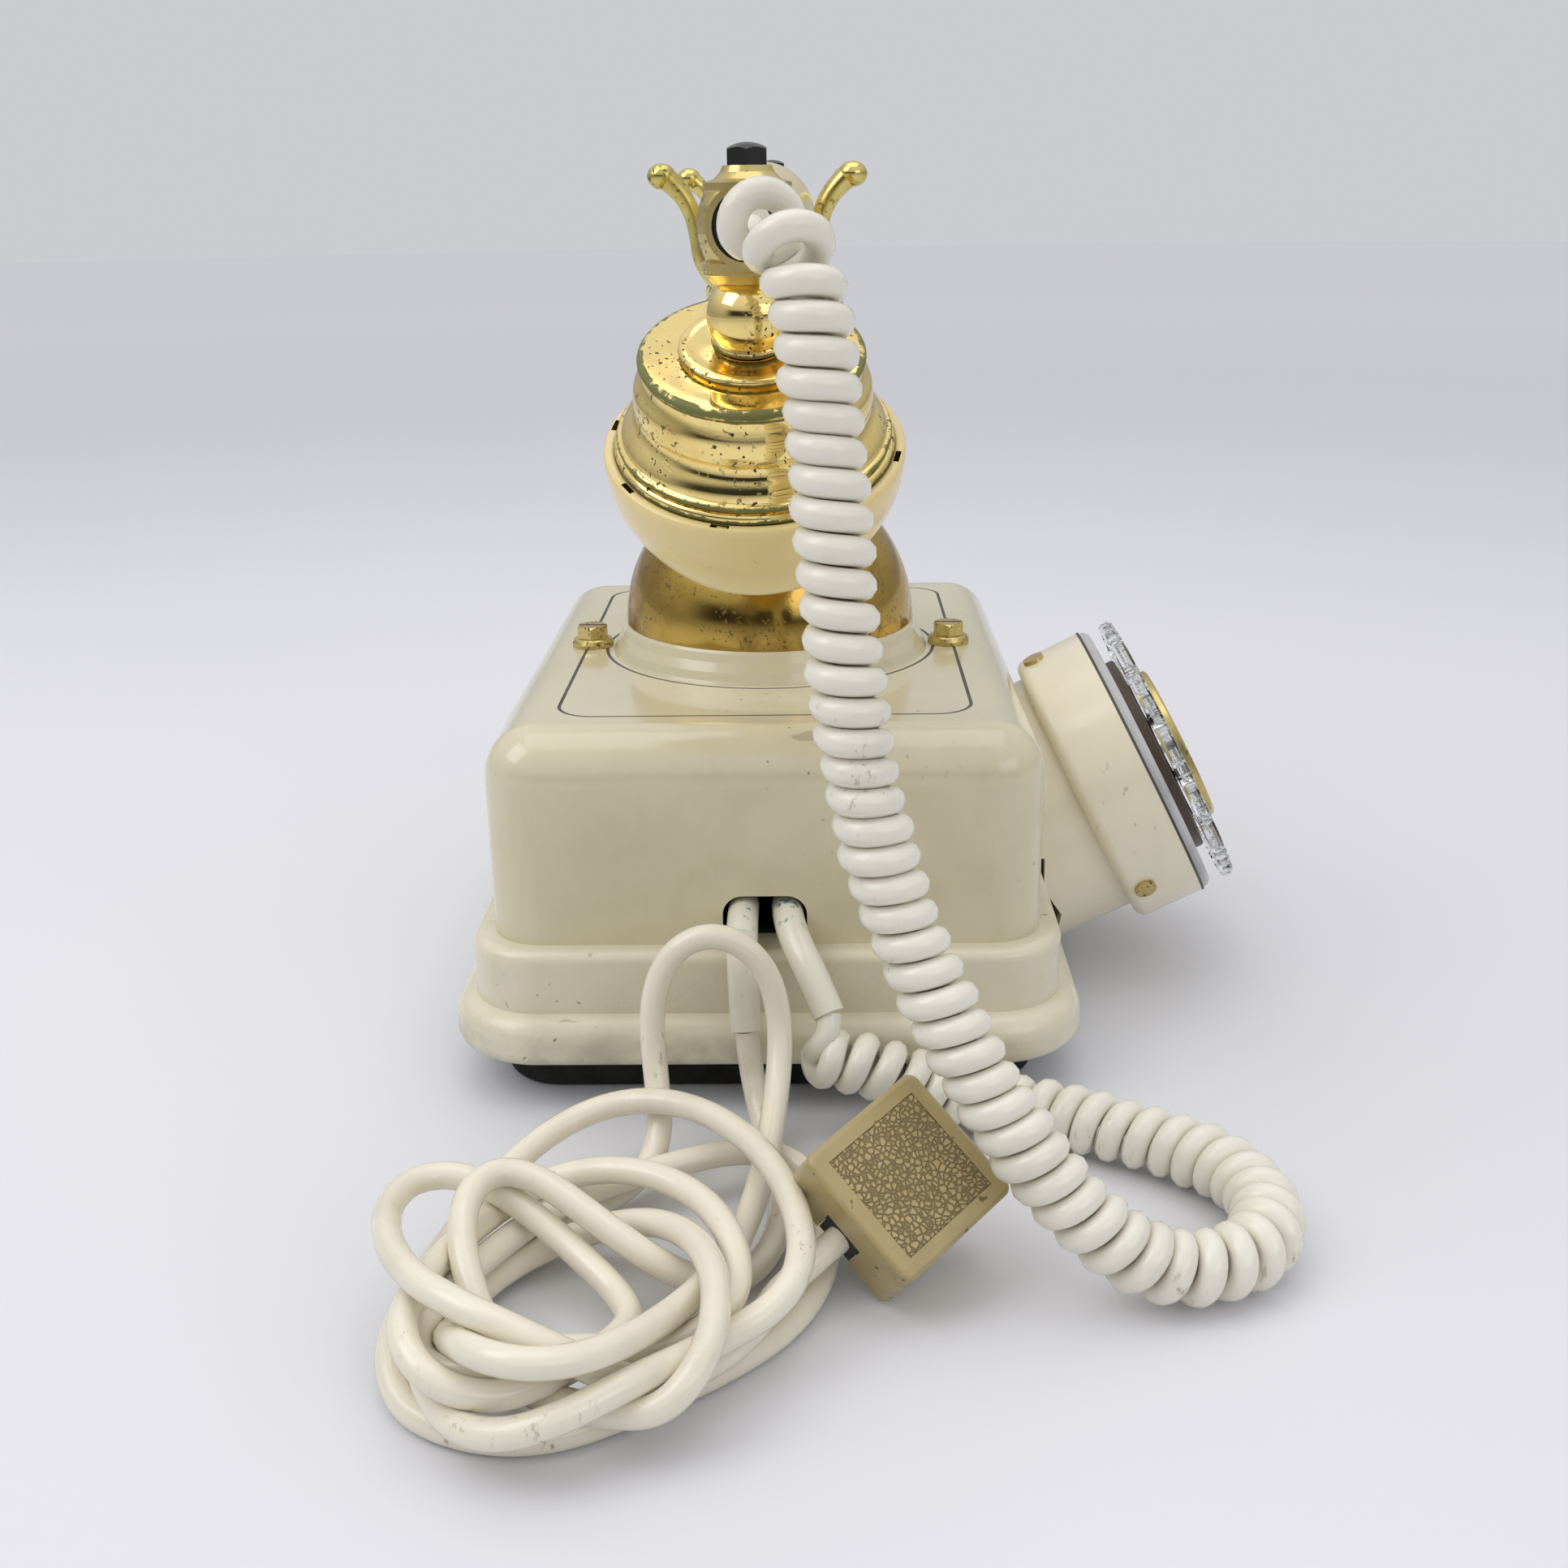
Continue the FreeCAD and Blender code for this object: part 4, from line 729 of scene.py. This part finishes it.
RUBBER = plain("pad_rubber", (0.010, 0.010, 0.009), 0.85, scale=900, bump=0.4)
BLACK = plain("black_enamel", (0.012, 0.010, 0.009), 0.13, scale=500, bump=0.05, spread=0.5)
BLACK_PLASTIC = plain("black_plastic", (0.02, 0.02, 0.02), 0.45, scale=600)
STEEL = plain("zinc_steel", (0.52, 0.53, 0.54), 0.35, 1.0, scale=700, stretch=(1, 0.15, 1))
COPPER = plain("copper_winding", (0.56, 0.25, 0.10), 0.35, 0.9, scale=1500, bump=0.6, stretch=(0.1, 0.1, 1))
RESIN = plain("resin_board", (0.30, 0.21, 0.09), 0.5, scale=400)
GREY = plain("ring_grey", (0.58, 0.565, 0.575), 0.32, scale=350, bump=0.08)
DARK_LINE = plain("dark_line", (0.085, 0.08, 0.072), 0.5, scale=500, bump=0.1)
BROWN = plain("disc_brown", (0.085, 0.055, 0.03), 0.35, scale=200, bump=0.1)
CLEAR = acrylic()

FINISHES = {
    "ivory": (IVORY, ["housing", "bell_seat"]), "low": (IVORY_LOW, ["plinth"]),
    "drum": (DRUM, ["dial_drum", "dial_bracket"]), "aged": (AGED, ["handle_grip"]),
    "rubber": (RUBBER, ["base_pad", "cord_bush"]),
    "steel": (STEEL, ["base_plate", "base_screws", "housing_studs", "board_standoffs", "hook_spring",
                      "ringer_frame", "gong_large", "gong_small", "clapper", "dial_frame", "dial_spring",
                      "pulse_contacts", "handle_tube", "dial_shaft", "governor"]),
    "plastic": (BLACK_PLASTIC, ["hook_switch", "voice_capsules", "volume_control", "volume_wheel"]),
    "copper": (COPPER, ["ringer_coils"]), "board": (RESIN, ["circuit_board"]),
    "dome": (DOME_BRASS, ["bell_dome"]), "brass": (BRASS, ["cradle_post", "cradle_bar", "cap_necks"]),
    "worn": (WORN_BRASS, ["thumb_nuts", "drum_screws", "finger_stop", "mouth_fitting", "ear_fitting"]),
    "grey": (GREY, ["number_ring"]), "brown": (BROWN, ["number_disc"]), "black": (BLACK, ["hex_caps"]),
    "clear": (CLEAR, ["finger_wheel"]), "vinyl": (VINYL, ["cord_grommet"]),
    "disc": (WORN_BRASS, ["centre_disc"]),
}


def finish_nodes():
    for finish, names in FINISHES.values():
        for name in names:
            NODES[name].data.materials.clear()
            NODES[name].data.materials.append(finish)


def dress(piece, material, body, slot, *nodes):
    """Give a piece its material, its body and the CAD nodes that it stands for."""
    piece.data.materials.clear()
    piece.data.materials.append(material)
    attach(piece, body)
    if nodes:
        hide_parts(*nodes)
    return piece


# ---- handset -------------------------------------------------------------------------------
def mark_edges(piece, bands):
    """Give a lathe piece its verdigris places: (height, reach, least radius), before it is set in place."""
    flags = piece.data.attributes.new("edge", "FLOAT", "POINT")
    for v in piece.data.vertices:
        height = v.co.z / MM
        radius = math.hypot(v.co.x, v.co.y) / MM
        value = 0.0
        for middle, reach, least in bands:
            if radius > least:
                value = max(value, 1 - abs(height - middle) / reach)
        flags.data[v.index].value = value


BELL_OUTLINE = [
    (4.0, 5.0), (7.4, 5.0), (7.4, 5.2), (10.8, 5.4), (12.6, 5.2), (13.7, 5.5), (14.0, 6.3), (13.4, 6.9),
    (13.0, 7.1), (16.5, 7.15), (19.6, 7.1), (21.2, 7.2), (21.9, 7.9), (21.7, 8.8), (21.1, 9.1),
    (21.2, 10.6), (22.0, 12.2), (22.9, 13.6), (23.3, 15.6), (23.2, 17.4), (22.8, 18.4), (23.4, 19.8),
    (24.6, 21.2), (25.5, 22.4), (26.0, 23.4), (26.0, 23.9), (26.9, 24.1), (27.2, 24.9), (26.6, 25.5),
    (26.2, 25.6), (27.2, 25.8), (27.8, 26.6), (27.6, 27.6), (26.6, 28.1), (24.8, 28.1)]


def add_bells():
    for side, name in ((-1, "mouth"), (1, "ear")):
        bell = turned(name + "_bell_brass", BELL_OUTLINE, 128, 2)
        mark_edges(bell, [(7.9, 1.9, 20.6), (24.8, 1.3, 25.2), (27.2, 1.4, 26.3), (9.4, 0.7, 20),
                          (6.3, 0.7, 13.0)])
        settle(bell, cap_frame(side), 50)
        dress(bell, BELL_BRASS, "handset", "brass", name + "_bell")


def hole_cutter(radius, reach, angle, middle, vertices=16):
    """An upright cylinder to cut a hole with, at a reach and an angle from the piece's axis."""
    start_clean()
    bpy.ops.mesh.primitive_cylinder_add(vertices=vertices, radius=radius, depth=14 * MM, location=(
        reach * math.cos(angle), reach * math.sin(angle), middle))
    return named("hole")


def add_cups():
    """The ivory cups, with eight notches in the rim of each and sound holes in its face."""
    rim = [(24.0, 28.3), (27.6, 28.2), (27.7, 27.6), (28.2, 27.3), (29.3, 27.3), (29.9, 27.9), (30.0, 29.4)]
    mouth = rim + [(29.7, 32.2), (28.9, 36.4), (27.2, 40.6), (24.6, 44.8), (21.8, 48.4), (19.6, 50.6),
                   (18.4, 51.6), (17.0, 52.0), (9.0, 52.0), (0, 52.0)]
    ear = rim + [(29.8, 33.0), (29.2, 36.6), (27.6, 39.6), (25.2, 41.2), (22.6, 41.5), (18.0, 40.2),
                 (11.0, 38.4), (5.0, 37.8), (0, 37.6)]
    notch_reach = 28.6 * MM
    for side, name, outline, rings in ((-1, "mouth", mouth, ((6, 9.0), (12, 14.0))),
                                       (1, "ear", ear, ((6, 5.0),))):
        cup = turned(name + "_cup_shell", outline, 96, 2)
        cutters = []
        for i in range(8):
            angle = math.radians(45 * i + 12)
            start_clean()
            bpy.ops.mesh.primitive_cube_add(
                size=1, location=(notch_reach * math.cos(angle), notch_reach * math.sin(angle), 27.2 * MM),
                rotation=(0, 0, angle), scale=(1.1 * MM, 3.6 * MM, 2.4 * MM))
            cutters.append(named("notch"))
        middle = outline[-1][1] * MM + 4.5 * MM
        for count, reach in rings:
            cutters += [hole_cutter(1.2 * MM, reach * MM, 2 * math.pi * i / count, middle)
                        for i in range(count)]
        cut_out(cup, joined("cutters", cutters))
        settle(cup, cap_frame(side), 35)
        dress(cup, AGED, "handset", "aged_ivory", name + "_cup")


def cut_out(piece, cutter):
    """Take one closed shape out of a piece."""
    start_clean()
    bpy.context.view_layer.objects.active = cutter
    cutter.select_set(True)
    bpy.ops.object.transform_apply(location=True, rotation=True, scale=True)
    mod = piece.modifiers.new("cut", "BOOLEAN")
    mod.operation = "DIFFERENCE"
    mod.solver = "EXACT"
    mod.object = cutter
    apply_modifiers(piece)
    bpy.data.objects.remove(cutter)


def add_handle():
    end = 90.6
    swell = []
    for i in range(-11, 12):
        share = math.cos(math.radians(abs(i) / 12 * 90)) ** 1.6
        swell.append((7.4 + 4.9 * share, end * i / 12))
    handle = turned("handle_ivory", [(4.0, -end), (7.0, -end), (7.4, -end + 0.5)] + swell
                    + [(7.4, end - 0.5), (7.0, end), (4.0, end)], 64, 1)
    lay = Matrix.Translation((0, 0, AXIS_HEIGHT)) @ Matrix.Rotation(math.radians(90), 4, "Y")
    settle(handle, lay, 40)
    dress(handle, AGED, "handset", "aged_ivory", "handle_grip")


def add_necks():
    """The polished ball under each fitting and the collar that carries the bell."""
    ball_line = [(0, -8.0), (2.0, -8.0)]
    for i in range(2, 15):
        angle = math.radians(-90 + 11.2 * i)
        ball_line.append((8.2 * math.cos(angle), 8.2 * math.sin(angle)))
    outline = [(r, z) for r, z in ball_line if z < 2.6 or r > 7.6]
    outline += [(6.9, 2.8), (7.0, 3.2), (7.5, 3.6), (7.5, 4.9), (4.0, 4.9)]
    for side, name in ((-1, "mouth"), (1, "ear")):
        ball = turned(name + "_neck_ball", outline, 72, 1)
        mark_edges(ball, [(4.4, 1.0, 6.8)])
        settle(ball, cap_frame(side), 45)
        dress(ball, BELL_BRASS, "handset", "brass")
        if side < 0:
            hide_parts("cap_necks")


def add_forks():
    """Two S-curved prongs at each end of the cradle's bar, with knobbed tips."""
    side_view = [(0.0, 176.4), (4.6, 176.4), (9.0, 177.4), (12.2, 181.6), (12.9, 187.0), (14.2, 192.2),
                 (17.0, 196.6), (20.2, 199.2)]
    widths = (1.25, 1.2, 1.08, 0.98, 0.9, 0.88, 0.98, 1.2)
    for side, name in ((-1, "mouth"), (1, "ear")):
        x = side * 42.6
        pieces = []
        for flip in (-1, 1):
            route = [(x * MM, flip * y * MM, z * MM) for y, z in side_view]
            prong = route_curve(name + "_prong", route, 2.15 * MM, resolution=10, around=5)
            for point, width in zip(prong.data.splines[0].points, widths):
                point.radius = width
            pieces.append(made_mesh(prong))
            start_clean()
            bpy.ops.mesh.primitive_uv_sphere_add(segments=24, ring_count=14, radius=2.9 * MM,
                                                 location=(x * MM, flip * 20.4 * MM, 199.0 * MM))
            bpy.ops.transform.resize(value=(1, 1.08, 0.92))
            pieces.append(named("tip"))
        foot = turned("foot", [(0, 174.0), (3.4, 174.4), (3.4, 175.2), (2.8, 176.4), (2.8, 178.2),
                               (0, 178.6)], 32, 1)
        for v in foot.data.vertices:
            v.co.x += x * MM
        pieces.append(foot)
        fork = joined(name + "_fork_brass", pieces)
        settle(fork, None, 60)
        dress(fork, FORK_BRASS, "cradle", "brass", "cradle_fork_" + name)


def add_column():
    outline = [(4.1, 85.0), (11.0, 85.0), (11.0, 88.0), (8.9, 88.4), (8.9, 128.6), (11.6, 128.7),
               (12.4, 129.5), (11.6, 130.6), (10.2, 131.6), (8.4, 134.4), (7.1, 138.6), (6.4, 144.0),
               (6.4, 151.8), (7.6, 152.9), (8.6, 154.0), (8.8, 155.0), (8.4, 156.2), (7.0, 157.2),
               (6.6, 158.0), (6.6, 161.0), (8.0, 161.6), (8.5, 162.4), (8.4, 163.6), (7.4, 164.0),
               (4.1, 164.0)]
    column = turned("column_brass", outline, 64, 1)
    settle(column, None, 45)
    dress(column, BRASS, "base", "brass", "cradle_column")


# ---- housing's lines -----------------------------------------------------------------------
def add_lines():
    """Thin dark lines on the housing's top, raised 0.3 mm: a rounded rectangle and a ring."""
    start_clean()
    bpy.ops.mesh.primitive_plane_add(size=1, location=(0, 0, 84.62 * MM))
    bpy.ops.transform.resize(value=(127.9 * MM, 94.9 * MM, 1))
    bpy.ops.object.transform_apply(location=True, rotation=True, scale=True)
    bpy.ops.object.mode_set(mode="EDIT")
    bpy.ops.mesh.select_all(action="SELECT")
    bpy.ops.mesh.bevel(offset=9 * MM, segments=10, affect="VERTICES")
    bpy.ops.mesh.select_all(action="SELECT")
    bpy.ops.mesh.inset(thickness=0.75 * MM, depth=0)
    bpy.ops.mesh.delete(type="FACE")
    bpy.ops.mesh.select_all(action="SELECT")
    bpy.ops.mesh.extrude_region_move(TRANSFORM_OT_translate={"value": (0, 0, 0.3 * MM)})
    bpy.ops.object.mode_set(mode="OBJECT")
    line = named("line_frame")
    ring = turned("line_ring", [(41.65, 84.6), (41.65, 84.92), (42.35, 84.92), (42.35, 84.6)], 160, 0)
    lines = joined("housing_lines", [line, ring])
    settle(lines, None, 30)
    dress(lines, DARK_LINE, "base", "ivory_plastic")


# ---- dial ----------------------------------------------------------------------------------
def add_dial_numbers():
    reach = 31.8 * MM
    pieces = []
    for i in range(10):
        start_clean()
        bpy.ops.object.text_add(location=(0, 0, 0))
        text = bpy.context.object
        text.data.body = str((i + 1) % 10)
        text.data.size = 6.2 * MM
        text.data.extrude = 0.04 * MM
        text.data.align_x = "CENTER"
        text.data.align_y = "CENTER"
        angle = hole_angle(i)
        mesh = made_mesh(text)
        for v in mesh.data.vertices:
            v.co += Vector((reach * math.cos(angle), reach * math.sin(angle), 2.86 * MM))
        pieces.append(mesh)
    numbers = joined("dial_numbers", pieces)
    settle(numbers, DIAL_FRAME, 30)
    dress(numbers, BLACK, "base", "black_metal")


def add_clear_wheel():
    """The clear finger wheel, with its scalloped rim and ten finger holes."""
    wheel = turned("clear_wheel", [(0, 6.0), (35.6, 6.0), (36.3, 6.1), (36.8, 6.7), (36.8, 8.7),
                                   (36.3, 9.3), (35.6, 9.4), (0, 9.4)], 240, 0)
    for v in wheel.data.vertices:
        radius = math.hypot(v.co.x, v.co.y)
        if radius > 30 * MM:
            angle = math.atan2(v.co.y, v.co.x) - hole_angle(0)
            grow = (radius - 1.3 * MM * (1 - abs(math.cos(12 * angle)) ** 0.7)) / radius
            v.co.x *= grow
            v.co.y *= grow
    middle = 7.7 * MM
    cutters = [hole_cutter(6.4 * MM, 28.4 * MM, hole_angle(i), middle, 48) for i in range(10)]
    cutters.append(hole_cutter(3.02 * MM, 0.0, hole_angle(10), middle, 48))
    cut_out(wheel, joined("cutters", cutters))
    settle(wheel, DIAL_FRAME, 35)
    dress(wheel, CLEAR, "dial", "clear_acrylic", "finger_wheel")


def add_disc_cover():
    """The clear cap over the centre disc, and a thin dark ring round the drum's front: a painted shadow of
    the seam there.
    """
    cover = turned("disc_cover", [(0, 11.1), (18.2, 11.1), (18.4, 11.3), (18.4, 11.7), (17.6, 12.0),
                                  (9.0, 12.1), (0, 12.1)], 64, 1)
    settle(cover, DIAL_FRAME, 40)
    dress(cover, CLEAR, "dial", "clear_acrylic")
    # Painted shadow: a thin dark ring round the drum's front stands for the shade in the seam there.
    line = turned("drum_seam_shadow", [(37.0, -0.02), (37.58, -0.02), (37.62, 0.3), (37.58, 0.62), (35.0, 0.62)],
                  96, 0)
    settle(line, DIAL_FRAME, 40)
    dress(line, DARK_LINE, "base", "black_metal")


# ---- plug ----------------------------------------------------------------------------------
def add_plug_face():
    """The grained plate let into the plug's frame."""
    start_clean()
    bpy.ops.mesh.primitive_cube_add(size=1, location=(0, 0, -0.32 * MM),
                                    scale=(22.1 * MM, 22.1 * MM, 0.5 * MM))
    bpy.ops.object.transform_apply(location=True, rotation=True, scale=True)
    plate = named("plug_plate")
    bevel(plate, 0.16 * MM, 2)
    settle(plate, PLUG_FRAME, 30)
    return dress(plate, GRAIN, "base", "khaki_plastic")


# ---- floor and light -----------------------------------------------------------------------
def add_stage():
    start_clean()
    bpy.ops.mesh.primitive_circle_add(vertices=64, radius=6, fill_type="NGON", location=(0, 0, -0.0002))
    floor = named("floor")
    made, tree, shader = blank("floor_paper", 0.55)
    shader.inputs["Specular IOR Level"].default_value = 0.25
    place = object_place(tree)
    spread = node(tree, "ShaderNodeVectorMath", operation="LENGTH")
    tree.links.new(place, spread.inputs[0])
    tone = patches(tree, place, (3, 2), 0.3, 0.7)
    paper = mixed(tree, tone, (0.745, 0.745, 0.778), (0.73, 0.73, 0.765))
    # Painted light in the floor's colour, by distance from the phone: paler within 0.30 m as a painted pool
    # of the lamps' light, darker out to 0.85 m as painted shade where that light falls off.
    painted_falloff_shade = ramp(tree, spread.outputs["Value"], 0.30, 0.85)
    near = mixed(tree, painted_falloff_shade, paper, (0.70, 0.708, 0.742))
    # Painted light: the floor is painted lighter again from 1.1 m to 2.6 m to make up for the lamps'
    # falloff far away.
    painted_far_light = ramp(tree, spread.outputs["Value"], 1.1, 2.6)
    tree.links.new(mixed(tree, painted_far_light, near, (0.79, 0.795, 0.825)), shader.inputs["Base Color"])
    floor.data.materials.append(made)


def add_lamp(name, place, aim, size, energy, colour=(1, 1, 1)):
    data = bpy.data.lights.new(name, "AREA")
    data.shape = "RECTANGLE"
    data.size, data.size_y = size
    data.energy = energy
    data.color = colour
    lamp = bpy.data.objects.new(name, data)
    bpy.context.collection.objects.link(lamp)
    lamp.matrix_world = Matrix.Translation(place) @ (Vector(aim) - Vector(place)).to_track_quat(
        "-Z", "Y").to_matrix().to_4x4()


def add_light():
    world = bpy.data.worlds.new("studio")
    bpy.context.scene.world = world
    world.use_nodes = True
    tree = world.node_tree
    back = tree.nodes["Background"]
    place = node(tree, "ShaderNodeTexCoord").outputs["Generated"]
    parts = node(tree, "ShaderNodeSeparateXYZ")
    tree.links.new(place, parts.inputs[0])
    up = parts.outputs["Z"]
    height = ramp(tree, up, -0.05, 0.75, 0.55, 1.25)
    band = times(tree, ramp(tree, up, 0.02, 0.10), ramp(tree, up, 0.34, 0.24))
    behind = ramp(tree, parts.outputs["X"], -0.25, -0.75)
    dark = combine(tree, "SUBTRACT", 1.0, times(tree, times(tree, band, behind), 0.93))
    shade = times(tree, height, dark)
    glow = node(tree, "ShaderNodeCombineColor")
    for socket, value in zip(glow.inputs, (1.0, 1.0, 1.03)):
        tree.links.new(times(tree, shade, value * 0.66), socket)
    seen = node(tree, "ShaderNodeLightPath").outputs["Is Camera Ray"]
    tree.links.new(mixed(tree, seen, glow.outputs[0], (0.60, 0.607, 0.634)), back.inputs["Color"])
    add_lamp("key", (-0.35, 0.75, 0.95), (0, 0, 0.08), (0.7, 0.7), 3.4)
    add_lamp("top", (0.05, 0.0, 1.25), (0, 0, 0), (1.0, 1.0), 3.0)
    add_lamp("fill", (-0.9, -0.7, 0.55), (0, 0, 0.08), (0.8, 0.5), 1.4)
    bpy.context.scene.view_settings.view_transform = "Standard"
    bpy.context.scene.view_settings.look = "None"


# ---- the whole telephone -------------------------------------------------------------------
finish_nodes()
line_sleeve = add_sleeve("line_sleeve_vinyl", LINE_SLEEVE_ROUTE, "line_sleeve")
handset_sleeve = add_sleeve("handset_sleeve_vinyl", HANDSET_SLEEVE_ROUTE, "handset_sleeve")
curly = add_curly_cord()
face = add_plug_face()
lead = add_line_cord()
for piece, material in ((line_sleeve, SLEEVE), (handset_sleeve, SLEEVE), (curly, VINYL), (lead, LINE_VINYL),
                        (NODES["plug_body"], KHAKI), (NODES["plug_base"], BLACK_PLASTIC)):
    piece.data.materials.clear()
    piece.data.materials.append(material)
add_bells()
add_cups()
add_handle()
add_necks()
add_forks()
add_column()
add_lines()
add_dial_numbers()
add_clear_wheel()
add_disc_cover()
add_stage()
add_light()
